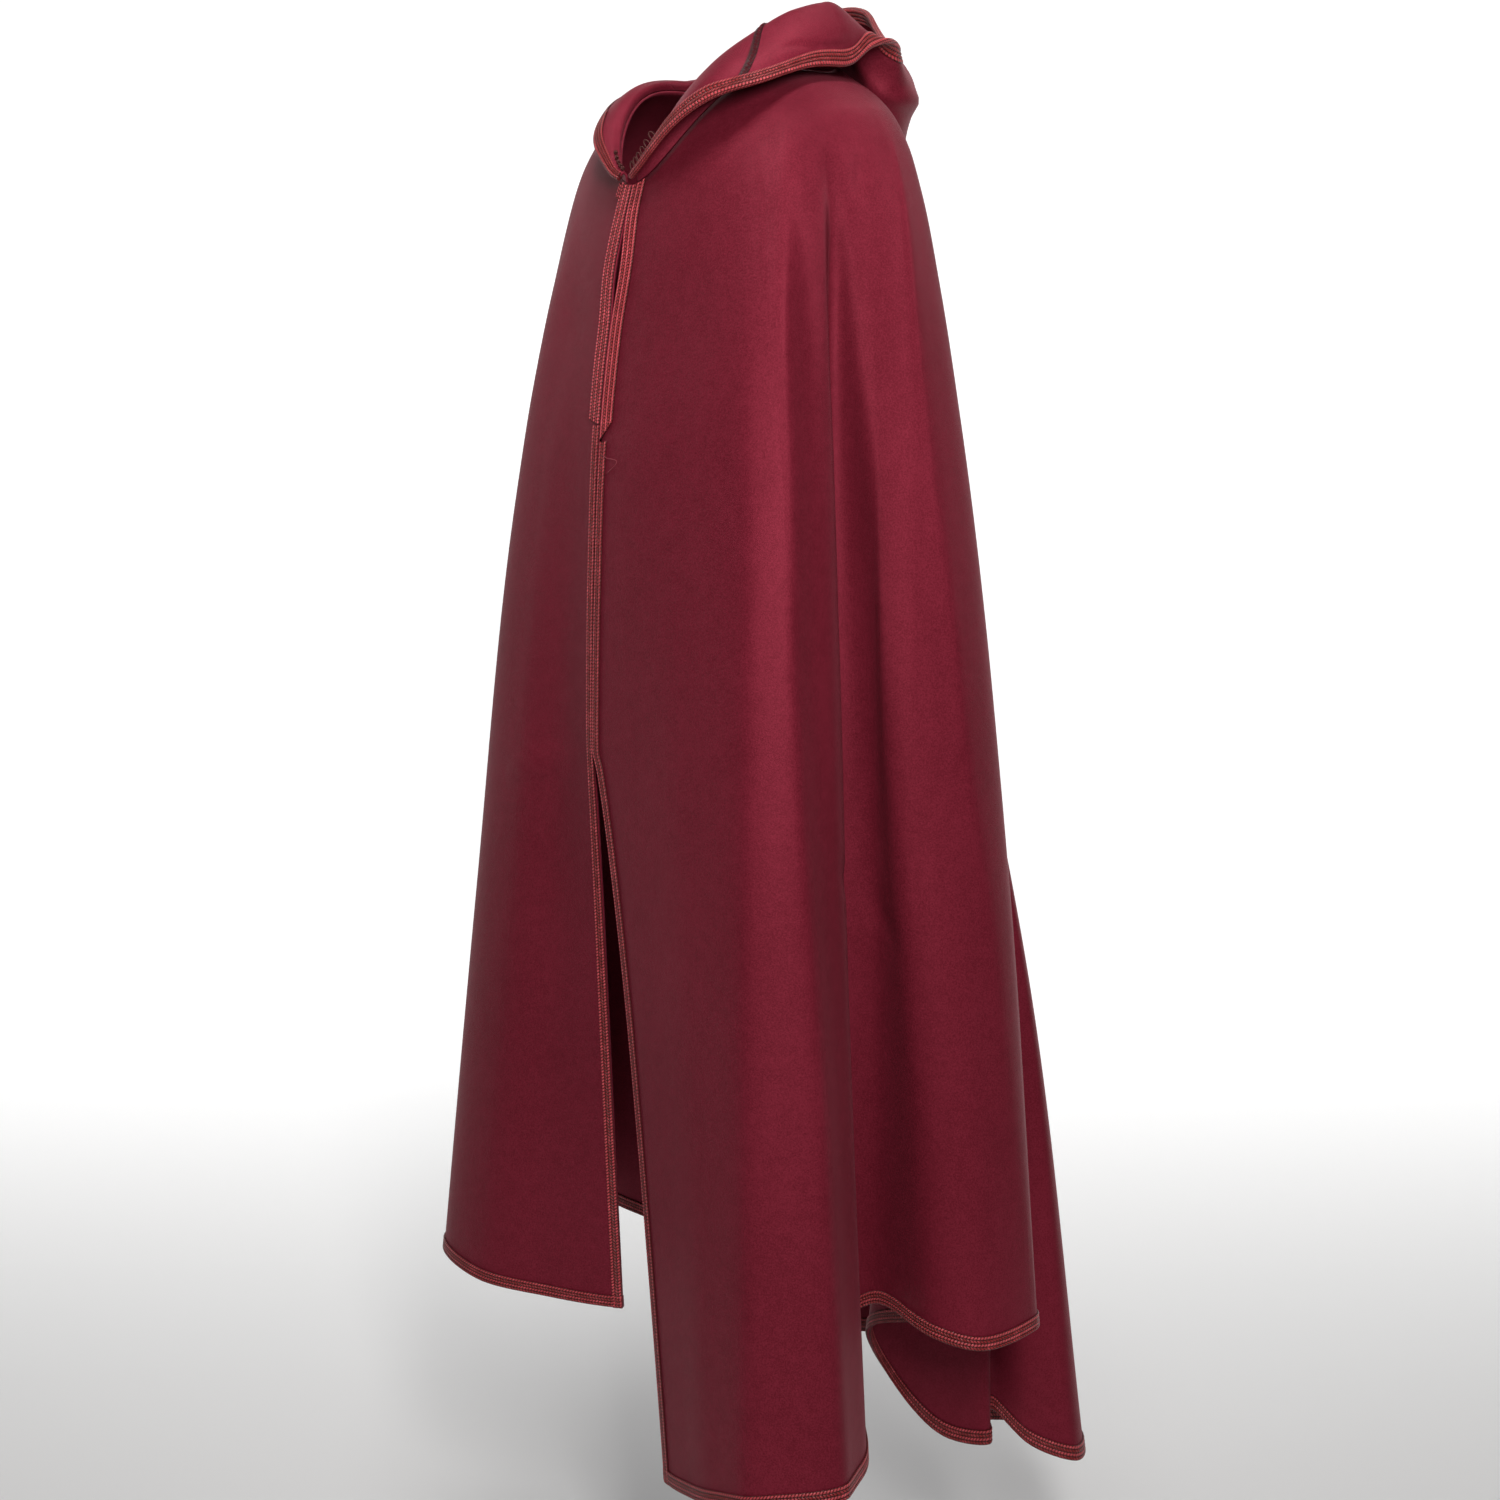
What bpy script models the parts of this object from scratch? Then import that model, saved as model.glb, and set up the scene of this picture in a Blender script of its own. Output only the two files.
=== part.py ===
"""A burnous: a long hooded cloak of wool cloth, open down the front, as it hangs from the shoulders.

The frame: metres, +Z up, the wearer faces -Y with the left hand at +X, and the origin is the middle of
the neck base, which carries the cloak.  Directions round the neck are angles in degrees from the middle
of the back (0): the left shoulder is at 90, the right one at -90, and the front opening at 180.
A place down the cloth is its run: 0 at the neck seam, 1 at the hem.
"""

import math
from collections import namedtuple

import bmesh
import bpy
import numpy as np

# ---- Cloth and braid ------------------------------------------------------------------------------
CLOTH = 0.0022  # thickness of the wool cloth
ROW = 0.0037  # width of one row of braid
BRAID = 0.0014  # thickness of a braided band at its edges
RIB = 0.0006  # how much the middle of each row stands up from that
CLEARANCE = 0.0005  # air between a band and the cloth under it
SEAM = 0.0008  # air between the hood and the neckline, where they are sewn together
SEATED = 0.0003  # air under a loop or a knot, where it is sewn on
PLACKET_ROWS, EDGE_ROWS, HEM_ROWS, HOOD_ROWS = 5, 3, 4, 4
NECKLINE = 3.0  # how pointed the neckline is in front: 2 is a plain oval

# ---- The rings: the cloth's plain form, resting on the shoulders and then hanging, without its folds ----
# run: place down the cloth, 0 at the neck seam and 1 at the hem; side, front, back: the ring's reach from
# the axis; *_z: the ring's height there.
Ring = namedtuple("Ring", "run side front back side_z front_z back_z")
RINGS = (
    Ring(0.000, 0.096, 0.142, 0.072, 0.000, -0.108, 0.034),
    Ring(0.025, 0.130, 0.151, 0.080, -0.010, -0.140, 0.010),
    Ring(0.050, 0.161, 0.158, 0.088, -0.025, -0.173, -0.018),
    Ring(0.075, 0.187, 0.164, 0.096, -0.046, -0.206, -0.048),
    Ring(0.100, 0.206, 0.169, 0.105, -0.076, -0.240, -0.082),
    Ring(0.130, 0.218, 0.175, 0.117, -0.115, -0.281, -0.126),
    Ring(0.200, 0.233, 0.184, 0.143, -0.206, -0.367, -0.231),
    Ring(0.300, 0.249, 0.190, 0.170, -0.335, -0.489, -0.383),
    Ring(0.650, 0.273, 0.195, 0.252, -0.787, -0.917, -0.914),
    Ring(1.000, 0.290, 0.200, 0.270, -1.240, -1.345, -1.440),
)
YOKE_RUN = 0.075  # the folds begin here, at the shoulder's edge

# ---- The folds: one line of cloth for each crest and each hollow, from the right front edge round to the left ----
# yoke: the angle at which the line leaves the shoulders; x, y, z: where it ends at the hem; start: the share
# of the fall that hangs plain before the fold opens; ease: below 1 it opens early, above 1 late.
Fold = namedtuple("Fold", "yoke x y z start ease")
FOLDS = (
    Fold(-180, -0.020, -0.150, -1.240, 0.42, 1.0),  # right front edge
    Fold(-170, -0.090, -0.195, -1.238, 0.20, 0.9),
    Fold(-160, -0.165, -0.235, -1.232, 0.05, 0.9),
    Fold(-148, -0.250, -0.225, -1.219, 0.00, 0.85),  # right front crest
    Fold(-139, -0.262, -0.165, -1.220, 0.00, 0.9),
    Fold(-131, -0.215, -0.120, -1.225, 0.10, 1.2),  # hollow
    Fold(-124, -0.255, -0.085, -1.225, 0.05, 1.0),
    Fold(-116, -0.325, -0.060, -1.222, 0.00, 1.0),
    Fold(-107, -0.315, 0.000, -1.225, 0.00, 1.0),  # right side crest
    Fold(-98, -0.245, 0.025, -1.235, 0.05, 1.0),
    Fold(-90, -0.190, 0.055, -1.250, 0.10, 1.2),  # hollow
    Fold(-83, -0.245, 0.100, -1.265, 0.05, 1.0),
    Fold(-76, -0.292, 0.160, -1.285, 0.00, 1.0),
    Fold(-68, -0.262, 0.205, -1.310, 0.00, 1.0),  # right back crest
    Fold(-60, -0.190, 0.185, -1.340, 0.05, 1.0),
    Fold(-52, -0.130, 0.185, -1.375, 0.10, 1.2),  # hollow
    Fold(-45, -0.150, 0.262, -1.405, 0.05, 1.0),
    Fold(-38, -0.130, 0.350, -1.430, 0.00, 1.0),
    Fold(-31, -0.075, 0.355, -1.445, 0.00, 1.0),  # back crest
    Fold(-24, -0.030, 0.290, -1.448, 0.05, 1.0),
    Fold(-17, 0.030, 0.262, -1.450, 0.10, 1.2),  # hollow
    Fold(-10, 0.085, 0.345, -1.462, 0.02, 0.85),
    Fold(-4, 0.150, 0.352, -1.465, 0.02, 0.85),  # left back crest
    Fold(4, 0.178, 0.316, -1.466, 0.02, 0.85),
    Fold(11, 0.142, 0.280, -1.450, 0.03, 1.0),
    Fold(17, 0.102, 0.261, -1.418, 0.03, 1.0),  # shallow hollow
    Fold(23, 0.118, 0.232, -1.420, 0.03, 1.0),
    Fold(29, 0.154, 0.207, -1.425, 0.03, 1.0),  # inner back crest
    Fold(35, 0.110, 0.182, -1.425, 0.03, 1.0),
    Fold(42, 0.062, 0.152, -1.375, 0.05, 1.0),
    Fold(49, 0.066, 0.112, -1.300, 0.05, 1.0),  # deep hollow
    Fold(56, 0.140, 0.124, -1.270, 0.03, 1.0),
    Fold(64, 0.235, 0.152, -1.240, 0.00, 1.0),
    Fold(73, 0.294, 0.128, -1.230, 0.00, 1.0),  # left side crest
    Fold(83, 0.292, 0.060, -1.236, 0.00, 1.0),
    Fold(93, 0.240, 0.030, -1.222, 0.00, 1.0),
    Fold(101, 0.178, 0.018, -1.215, 0.00, 0.9),
    Fold(108, 0.150, -0.012, -1.250, 0.00, 0.9),  # hollow behind the front crest
    Fold(115, 0.215, -0.035, -1.300, 0.00, 1.0),
    Fold(122, 0.268, -0.070, -1.330, 0.05, 1.1),
    Fold(131, 0.268, -0.118, -1.338, 0.02, 1.0),  # left front crest
    Fold(142, 0.240, -0.162, -1.345, 0.02, 1.0),
    Fold(155, 0.195, -0.186, -1.358, 0.10, 1.0),
    Fold(168, 0.150, -0.188, -1.368, 0.25, 0.9),
    Fold(180, 0.100, -0.183, -1.373, 0.38, 0.75),  # left front edge
)
FRONT_GAP = 0.0012  # half the gap between the two front edges where they meet
SLIT_GAP = 0.004  # more than that, at the widest place of the slit under the neck
SLIT_RUNS = (0.015, 0.11)  # where that slit begins and ends
EDGE_REACH = 0.03  # how far across the cloth such a gap bends it
PLACKET_RUN = 0.185  # where the bands beside the slit end

# ---- The hood, thrown back: its profiles from the neck seam to the face edge, round the neck ----
# Each pair is a place out from the neckline and up from it.  At the sides the hood is rolled outward and
# shows its inside; at the back it hangs as a bag, open at the top.
Profile = namedtuple(
    "Profile", "angle rise_out rise_up turn_out turn_up wall_out wall_up swell_out swell_up rim_out rim_up"
)
PROFILES = (
    Profile(-175, 0.001, 0.005, 0.003, 0.009, 0.006, 0.010, 0.009, 0.008, 0.012, 0.004),
    Profile(-160, 0.000, 0.008, 0.003, 0.012, 0.008, 0.012, 0.013, 0.009, 0.018, 0.004),
    Profile(-146, 0.000, 0.006, 0.004, 0.010, 0.011, 0.010, 0.020, 0.006, 0.027, -0.001),
    Profile(-130, 0.000, 0.005, 0.004, 0.009, 0.013, 0.009, 0.023, 0.003, 0.031, -0.006),
    Profile(-112, -0.001, 0.005, 0.005, 0.009, 0.015, 0.009, 0.027, 0.002, 0.036, -0.007),
    Profile(-92, -0.001, 0.006, 0.006, 0.011, 0.020, 0.011, 0.034, 0.004, 0.043, -0.004),
    Profile(-72, 0.002, 0.009, 0.012, 0.014, 0.030, 0.014, 0.045, 0.012, 0.058, 0.010),
    Profile(-54, 0.009, 0.012, 0.028, 0.002, 0.046, 0.004, 0.060, 0.018, 0.066, 0.038),
    Profile(-36, 0.012, 0.012, 0.052, -0.058, 0.074, -0.044, 0.086, -0.012, 0.076, 0.050),
    Profile(-18, 0.012, 0.011, 0.074, -0.150, 0.092, -0.082, 0.104, -0.032, 0.088, 0.058),
    Profile(0, 0.012, 0.010, 0.084, -0.200, 0.098, -0.088, 0.107, -0.034, 0.074, 0.046),
    Profile(17, 0.012, 0.011, 0.074, -0.155, 0.090, -0.080, 0.099, -0.032, 0.058, 0.024),
    Profile(33, 0.012, 0.012, 0.054, -0.080, 0.070, -0.054, 0.077, -0.024, 0.054, 0.014),
    Profile(42, 0.011, 0.011, 0.040, -0.028, 0.055, -0.024, 0.065, -0.012, 0.062, 0.012),
    Profile(50, 0.009, 0.012, 0.026, 0.008, 0.039, 0.008, 0.051, 0.010, 0.060, 0.021),
    Profile(58, 0.005, 0.016, 0.018, 0.028, 0.030, 0.031, 0.043, 0.026, 0.058, 0.024),
    Profile(68, 0.001, 0.023, 0.010, 0.045, 0.021, 0.050, 0.036, 0.038, 0.049, 0.020),
    Profile(84, -0.004, 0.030, 0.004, 0.056, 0.020, 0.060, 0.038, 0.038, 0.046, 0.002),
    Profile(101, -0.004, 0.026, 0.006, 0.048, 0.022, 0.050, 0.044, 0.024, 0.053, -0.004),
    Profile(118, -0.002, 0.018, 0.008, 0.034, 0.022, 0.036, 0.046, 0.014, 0.060, -0.012),
    Profile(134, 0.000, 0.014, 0.006, 0.029, 0.020, 0.032, 0.038, 0.018, 0.050, -0.003),
    Profile(148, 0.000, 0.012, 0.005, 0.025, 0.014, 0.028, 0.026, 0.018, 0.034, 0.004),
    Profile(161, 0.000, 0.009, 0.004, 0.017, 0.010, 0.018, 0.017, 0.013, 0.022, 0.005),
    Profile(175, 0.001, 0.005, 0.003, 0.009, 0.006, 0.010, 0.009, 0.008, 0.012, 0.004),
)
PROFILE_KNOTS = (0.0, 0.15, 0.45, 0.65, 0.8, 1.0)  # where seam, rise, turn, wall, swell and rim stand

# ---- The clasp: cord loops on the left of the neck and knots of the same cord on the right ----
CLASP_COUNT = 6
CLASP_ANGLES = (176, 160)  # from the lowest pair to the highest
CORD_RADIUS = 0.0006
LOOP_WIDTH, LOOP_HEIGHT = 0.0042, 0.0085
KNOT_RADIUS = 0.0021

# ---- Mesh fineness ----
BODY_COLUMNS = 108
BODY_RUNS = (0, 0.02, 0.04, 0.06, 0.08, 0.105, 0.135, PLACKET_RUN, 0.24, 0.31, 0.39, 0.48, 0.57, 0.66, 0.75, 0.84, 0.92)
HOOD_COLUMNS = 72
HOOD_STEPS = 13
FINE_STEPS = 160
FINE_COLUMNS = 1600
HOOD_STRIP_ENDS = (13, 59)  # columns of the hood at which a strip down each front end is sewn on
HOOD_STRIP_SLANT, HOOD_STRIP_EASE = 13.0, 28.0  # degrees: the seam's lean each way, and how far off it fades
PIECE_GAP = 0.0003  # air between two pieces of cloth that are sewn edge to edge
HOOD_BAND_SHARE = 0.3  # the most of a short profile that the band on the rim covers


def spline(knots, values, at):
    """Values at the places asked for, on a smooth curve through values that stand at the knots."""
    knots = np.asarray(knots, float)
    values = np.asarray(values, float)
    at = np.asarray(at, float)
    steps = np.diff(knots)
    steps = steps.reshape(steps.shape + (1,) * (values.ndim - 1))
    slopes = np.diff(values, axis=0) / steps
    tangents = np.empty_like(values)
    tangents[0], tangents[-1] = slopes[0], slopes[-1]
    tangents[1:-1] = (slopes[:-1] * steps[1:] + slopes[1:] * steps[:-1]) / (steps[:-1] + steps[1:])
    cell = np.clip(np.searchsorted(knots, at, side="right") - 1, 0, len(knots) - 2)
    width = knots[cell + 1] - knots[cell]
    s = (at - knots[cell]) / width
    pad = (slice(None),) * at.ndim + (None,) * (values.ndim - 1)
    s, width = s[pad], width[pad]
    return (
        values[cell] * (1 + 2 * s) * (1 - s) ** 2
        + tangents[cell] * width * s * (1 - s) ** 2
        + values[cell + 1] * s**2 * (3 - 2 * s)
        - tangents[cell + 1] * width * s**2 * (1 - s)
    )


def ring_point(angle, run):
    """Points on the cloth's plain form, at an angle round it and a run down it."""
    table = np.array(RINGS)
    side, front, back, side_z, front_z, back_z = np.moveaxis(spline(table[:, 0], table[:, 1:], run), -1, 0)
    turn = np.radians(angle)
    across, along = np.sin(turn), np.cos(turn)
    to_end = np.abs(along) ** NECKLINE
    z = side_z + (np.where(along < 0, front_z, back_z) - side_z) * to_end
    return np.stack([side * across, np.where(along < 0, front, back) * along, z], axis=-1)


def fold_places():
    """The place across the cloth, from 0 to 1, of each line of the fold table.

    It is the mean of the line's share of the shoulders and its share of the hem, so that columns of cloth
    are about as wide as each other at both ends.
    """
    table = np.array(FOLDS)
    hem_steps = np.linalg.norm(np.diff(table[:, 1:4], axis=0), axis=1)
    hem_share = np.concatenate([[0], np.cumsum(hem_steps) / hem_steps.sum()])
    yoke_share = (table[:, 0] - table[0, 0]) / (table[-1, 0] - table[0, 0])
    return (hem_share + yoke_share) / 2


def body_point(across, run):
    """Points on the outside of the cloak's cloth, for arrays of places across it and of runs down it."""
    across, run = np.broadcast_arrays(np.asarray(across, float), np.asarray(run, float))
    table = np.array(FOLDS)
    places = fold_places()
    angle = spline(places, table[:, 0], across)
    shift = table[:, 1:4] - ring_point(table[:, 0], np.ones(len(FOLDS)))
    share = np.clip((run - YOKE_RUN) / (1 - YOKE_RUN), 0, 1)[..., None]
    opened = np.clip((share - table[:, 4]) / (1 - table[:, 4]), 0, 1) ** table[:, 5]
    blend = spline(places, np.eye(len(FOLDS)), across)
    plan = np.einsum("...k,...k,kj->...j", blend, opened, shift[:, :2])
    drop = np.einsum("...k,...k,k->...", blend, np.broadcast_to(share, opened.shape), shift[:, 2])
    point = ring_point(angle, run) + np.concatenate([plan, drop[..., None]], axis=-1)
    begin, end = SLIT_RUNS
    in_slit = np.clip((run - begin) / (end - begin), 0, 1)
    gap = FRONT_GAP + SLIT_GAP * np.sin(math.pi * in_slit) ** 2
    point[..., 0] += gap * (np.exp(-(1 - across) / EDGE_REACH) - np.exp(-across / EDGE_REACH))
    return point


def hood_point(across, down):
    """Points on the hood, from the right front end (across 0) to the left one, seam (down 0) to rim."""
    across, down = np.broadcast_arrays(np.asarray(across, float), np.asarray(down, float))
    table = np.array(PROFILES)
    angle = table[0, 0] + (table[-1, 0] - table[0, 0]) * across
    offsets = np.zeros((len(PROFILES), len(PROFILE_KNOTS), 2))
    offsets[:, 1:] = table[:, 1:].reshape(len(PROFILES), -1, 2)
    by_angle = spline(table[:, 0], np.eye(len(PROFILES)), angle)
    by_down = spline(np.array(PROFILE_KNOTS), np.eye(len(PROFILE_KNOTS)), down)
    out_up = np.einsum("...a,...d,adj->...j", by_angle, by_down, offsets)
    seam = ring_point(angle, np.zeros_like(angle))
    turn = np.radians(angle)
    outward = np.stack([np.sin(turn), np.cos(turn), np.zeros_like(turn)], axis=-1)
    point = seam + outward * out_up[..., :1]
    lying = np.clip(np.cos(turn), 0, 1)
    point[..., 2] += out_up[..., 1] + SEAM + CLOTH * lying
    return point


# ---- Making the pieces ----


def body_grid():
    """The cloth's points, a row for each run and a column for each place across.

    The first and the last columns stand where the bands on the front edges end, and so does the row above
    the hem, so that each band covers whole squares of cloth.
    """
    fine = np.linspace(0, 1, FINE_COLUMNS + 1)
    length = np.linalg.norm(body_point(0.25, 1.0) - body_point(0.25, BODY_RUNS[-1])) / (1 - BODY_RUNS[-1])
    runs = np.array(BODY_RUNS + (1 - HEM_ROWS * ROW / length, 1.0))
    lines = body_point(fine[None, :], runs[:, None])
    bands = np.array([0, EDGE_ROWS * ROW, PLACKET_ROWS * ROW])
    grid = np.empty((len(runs), BODY_COLUMNS + 1, 3))
    for row, line in enumerate(lines):
        steps = np.linalg.norm(np.diff(line, axis=0), axis=1)
        reached = np.concatenate([[0], np.cumsum(steps)])
        begin = np.interp(bands, reached, fine)
        end = np.interp(reached[-1] - bands[::-1], reached, fine)
        middle = np.linspace(begin[-1], end[0], BODY_COLUMNS - 2 * len(bands) + 3)
        across = np.concatenate([begin, middle[1:-1], end])
        for axis in range(3):
            grid[row, :, axis] = np.interp(across, fine, line[:, axis])
    return grid, runs


def strip_lean(across):
    """How far the hood's columns lean over from seam to rim, as a share of the hood's length."""
    span = PROFILES[-1].angle - PROFILES[0].angle
    lean = np.zeros_like(across)
    for column, way in zip(HOOD_STRIP_ENDS, (-1, 1)):
        away = np.abs(across - column / HOOD_COLUMNS) * span / HOOD_STRIP_EASE
        lean += way * HOOD_STRIP_SLANT / span * np.clip(1 - away, 0, 1) ** 2 * (1 + 2 * away)
    return lean


def hood_grid():
    """The hood's points: even steps down each profile, and a last one as wide as the band on the rim."""
    across = np.linspace(0, 1, HOOD_COLUMNS + 1)
    down = np.linspace(0, 1, FINE_STEPS + 1)
    fine = hood_point(across[:, None] + strip_lean(across)[:, None] * (2 * down - 1), down[None, :])
    grid = np.empty((HOOD_STEPS + 2, HOOD_COLUMNS + 1, 3))
    for column, line in enumerate(fine):
        steps = np.linalg.norm(np.diff(line, axis=0), axis=1)
        reached = np.concatenate([[0], np.cumsum(steps)])
        band = min(HOOD_ROWS * ROW, HOOD_BAND_SHARE * reached[-1])
        wanted = np.append(np.linspace(0, reached[-1] - band, HOOD_STEPS + 1), reached[-1])
        for axis in range(3):
            grid[:, column, axis] = np.interp(wanted, reached, line[:, axis])
    return grid


def normals_of(grid):
    """Unit normals of a grid of points: outward on the cloak, and to the hood's inside on the hood."""
    down = np.gradient(grid, axis=0)
    along = np.gradient(grid, axis=1)
    normal = np.cross(along, down)
    return normal / np.linalg.norm(normal, axis=-1, keepdims=True)


def walled(name, outer, inner, material, folded=None):
    """One closed solid between two grids of points that match, the outer one on the normals' side.

    Each square is split along the same diagonal; in the row that is named as folded, and below it, the
    squares run back up the cloth and are split along the other one.
    """
    rows, columns = outer.shape[:2]
    vertices = np.concatenate([outer.reshape(-1, 3), inner.reshape(-1, 3)])

    def at(row, column, side):
        return side * rows * columns + row * columns + column

    faces = []
    for row in range(rows - 1):
        for column in range(columns - 1):
            square = [(row, column), (row + 1, column), (row + 1, column + 1), (row, column + 1)]
            if folded is not None and row >= folded:
                square = square[1:] + square[:1]
            a, b, c, d = (at(*corner, 0) for corner in square)
            faces += [[a, b, c], [a, c, d]]
            a, b, c, d = (at(*corner, 1) for corner in square)
            faces += [[c, b, a], [d, c, a]]
    border = (
        [(row, 0) for row in range(rows - 1)]
        + [(rows - 1, column) for column in range(columns - 1)]
        + [(row, columns - 1) for row in range(rows - 1, 0, -1)]
        + [(0, column) for column in range(columns - 1, 0, -1)]
    )
    for this, following in zip(border, border[1:] + border[:1]):
        a, b, c, d = at(*this, 0), at(*this, 1), at(*following, 1), at(*following, 0)
        climbing = following[0] < this[0]  # two pieces that meet edge to edge are split the same way
        faces += [[d, a, b], [d, b, c]] if climbing else [[d, a, c], [a, b, c]]
    return add_object(name, vertices, faces, material)


def hood_piece(name, outer, inner, first, last, material):
    """The part of the hood from one column to another, a little short of the pieces beside it."""
    faces = [grid[:, first : last + 1].copy() for grid in (outer, inner)]
    for edge, column, way in ((0, first, 1), (-1, last, -1)):
        if 0 < column < HOOD_COLUMNS:
            inward = way * (outer[:, column + 1] - outer[:, column - 1])
            for face in faces:
                face[:, edge] += inward / np.linalg.norm(inward, axis=1, keepdims=True) * PIECE_GAP / 2
    return walled(name, *faces, material)


def add_object(name, vertices, faces, material):
    """A mesh object of the points and faces given, split into triangles, with smooth sides."""
    mesh = bpy.data.meshes.new(name)
    mesh.from_pydata([tuple(vertex) for vertex in vertices], [], faces)
    shape = bmesh.new()
    shape.from_mesh(mesh)
    bmesh.ops.triangulate(shape, faces=shape.faces)
    bmesh.ops.recalc_face_normals(shape, faces=shape.faces)
    shape.to_mesh(mesh)
    shape.free()
    mesh.shade_smooth()
    mesh.set_sharp_from_angle(angle=math.radians(40))
    mesh.materials.append(material)
    made = bpy.data.objects.new(name, mesh)
    bpy.context.scene.collection.objects.link(made)
    return made


def finish(name, colour, roughness, metallic=0.0):
    """A plain material."""
    material = bpy.data.materials.new(name)
    material.use_nodes = True
    shader = material.node_tree.nodes["Principled BSDF"]
    shader.inputs["Base Color"].default_value = (*colour, 1.0)
    shader.inputs["Roughness"].default_value = roughness
    shader.inputs["Metallic"].default_value = metallic
    return material


def walk(line, distance):
    """The point at a distance along a line of points, and the share of each point in it."""
    steps = np.linalg.norm(np.diff(line, axis=0), axis=1)
    reached = np.concatenate([[0], np.cumsum(steps)])
    place = np.interp(distance, reached, np.arange(len(line)))
    cell = min(int(place), len(line) - 2)
    return cell, place - cell


def ribbed(rows):
    """Places across a band, from 0 to 1, and the height of its rows of braid there."""
    places = np.linspace(0, 1, 2 * rows + 1)
    heights = np.where(np.arange(2 * rows + 1) % 2 == 1, BRAID + RIB, BRAID)
    return places, heights


def side_band(name, grid, normals, left, first, last, rows, material, ribs, slant=0.0):
    """A band of braid on the outside of the cloth, down one front edge, from one row of the grid to another.

    Its ends stand clear of what is above and below; slant lifts the lower end's outer corner.
    """
    places, heights = ribbed(rows) if ribs else (np.array([0.0, 1.0]), np.array([BRAID, BRAID]))
    if left:
        grid, normals = grid[:, ::-1], normals[:, ::-1]
    under, over = [], []
    for row in range(first, last + 1):
        line, facing = grid[row], normals[row]
        low, high = [], []
        for place, height in zip(places, heights):
            cell, part = walk(line, place * rows * ROW)
            point = line[cell] * (1 - part) + line[cell + 1] * part
            normal = facing[cell] * (1 - part) + facing[cell + 1] * part
            normal = normal / np.linalg.norm(normal)
            if row in (first, last):
                beside = row + 1 if row == first else row - 1
                inward = grid[beside][cell] - grid[row][cell]
                lift = CLEARANCE + (slant * place if row == last else 0.0)
                point = point + inward / np.linalg.norm(inward) * lift
            low.append(point + normal * CLEARANCE)
            high.append(point + normal * (CLEARANCE + height))
        under.append(low)
        over.append(high)
    under, over = np.array(under), np.array(over)
    if left:
        under, over = under[:, ::-1], over[:, ::-1]
    return walled(name, over, under, material)


def rim_band(name, grid, normals, material, both_sides):
    """A band of braid along the last step of a grid; over both faces, it is folded round the edge."""
    upper, edge = grid[-2], grid[-1]
    upper_out, edge_out = normals[-2], normals[-1]
    down = (edge - upper) / np.linalg.norm(edge - upper, axis=1, keepdims=True)
    near, far = CLEARANCE, CLEARANCE + BRAID
    back_near, back_far = CLOTH + CLEARANCE, CLOTH + CLEARANCE + BRAID
    if not both_sides:
        return walled(
            name,
            np.stack([upper + upper_out * far, edge + edge_out * far]),
            np.stack([upper + upper_out * near, edge + edge_out * near]),
            material,
        )
    outer = np.stack(
        [
            upper + upper_out * far,
            edge + edge_out * far + down * far,
            edge - edge_out * back_far + down * far,
            upper - upper_out * back_far,
        ]
    )
    inner = np.stack(
        [
            upper + upper_out * near,
            edge + edge_out * near + down * near,
            edge - edge_out * back_near + down * near,
            upper - upper_out * back_near,
        ]
    )
    return walled(name, outer, inner, material, folded=2)


def loop(name, centre, along, upward, material):
    """One closed loop of cord, standing in the plane of the two directions."""
    centre, along, upward = (np.asarray(item, float) for item in (centre, along, upward))
    sideways = np.cross(along, upward)
    sides, turns = 5, 12
    vertices, faces = [], []
    for turn in range(turns):
        angle = 2 * math.pi * turn / turns
        out = math.cos(angle) * along + math.sin(angle) * upward
        middle = centre + along * math.cos(angle) * LOOP_WIDTH / 2 + upward * math.sin(angle) * LOOP_HEIGHT / 2
        for side in range(sides):
            around = 2 * math.pi * side / sides
            vertices.append(middle + CORD_RADIUS * (math.cos(around) * out + math.sin(around) * sideways))
    for turn in range(turns):
        for side in range(sides):
            this, following = turn * sides, (turn + 1) % turns * sides
            beside = (side + 1) % sides
            faces.append([this + side, following + side, following + beside, this + beside])
    return add_object(name, vertices, faces, material)


def knot(name, centre, material):
    """One knot of cord, a small ball."""
    shape = bmesh.new()
    bmesh.ops.create_icosphere(shape, subdivisions=1, radius=KNOT_RADIUS)
    vertices = [np.array(vertex.co) + centre for vertex in shape.verts]
    faces = [[vertex.index for vertex in face.verts] for face in shape.faces]
    shape.free()
    return add_object(name, vertices, faces, material)


def clasp(grid, loop_material, knot_material):
    """The loops and knots, standing on the rolled front ends of the hood."""
    angles = np.linspace(*CLASP_ANGLES, CLASP_COUNT)
    first, last = PROFILES[0].angle, PROFILES[-1].angle
    for number, angle in enumerate(angles, start=1):
        for left in (True, False):
            across = ((angle if left else -angle) - first) / (last - first) * HOOD_COLUMNS
            column = min(int(across), HOOD_COLUMNS - 1)
            part = across - column
            line = grid[:, column] * (1 - part) + grid[:, column + 1] * part
            top = line[np.argmax(line[:, 2])]
            along = grid[0, column + 1] - grid[0, column]
            along = along / np.linalg.norm(along)
            upward = np.array([0.0, 0.0, 1.0])
            upward = upward - along * along[2]
            upward = upward / np.linalg.norm(upward)
            if left:
                rise = LOOP_HEIGHT / 2 + CORD_RADIUS + SEATED
                loop(f"loop_{number}", top + upward * rise, along, upward, loop_material)
            else:
                knot(f"knot_{number}", top + upward * (KNOT_RADIUS + SEATED), knot_material)


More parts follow.
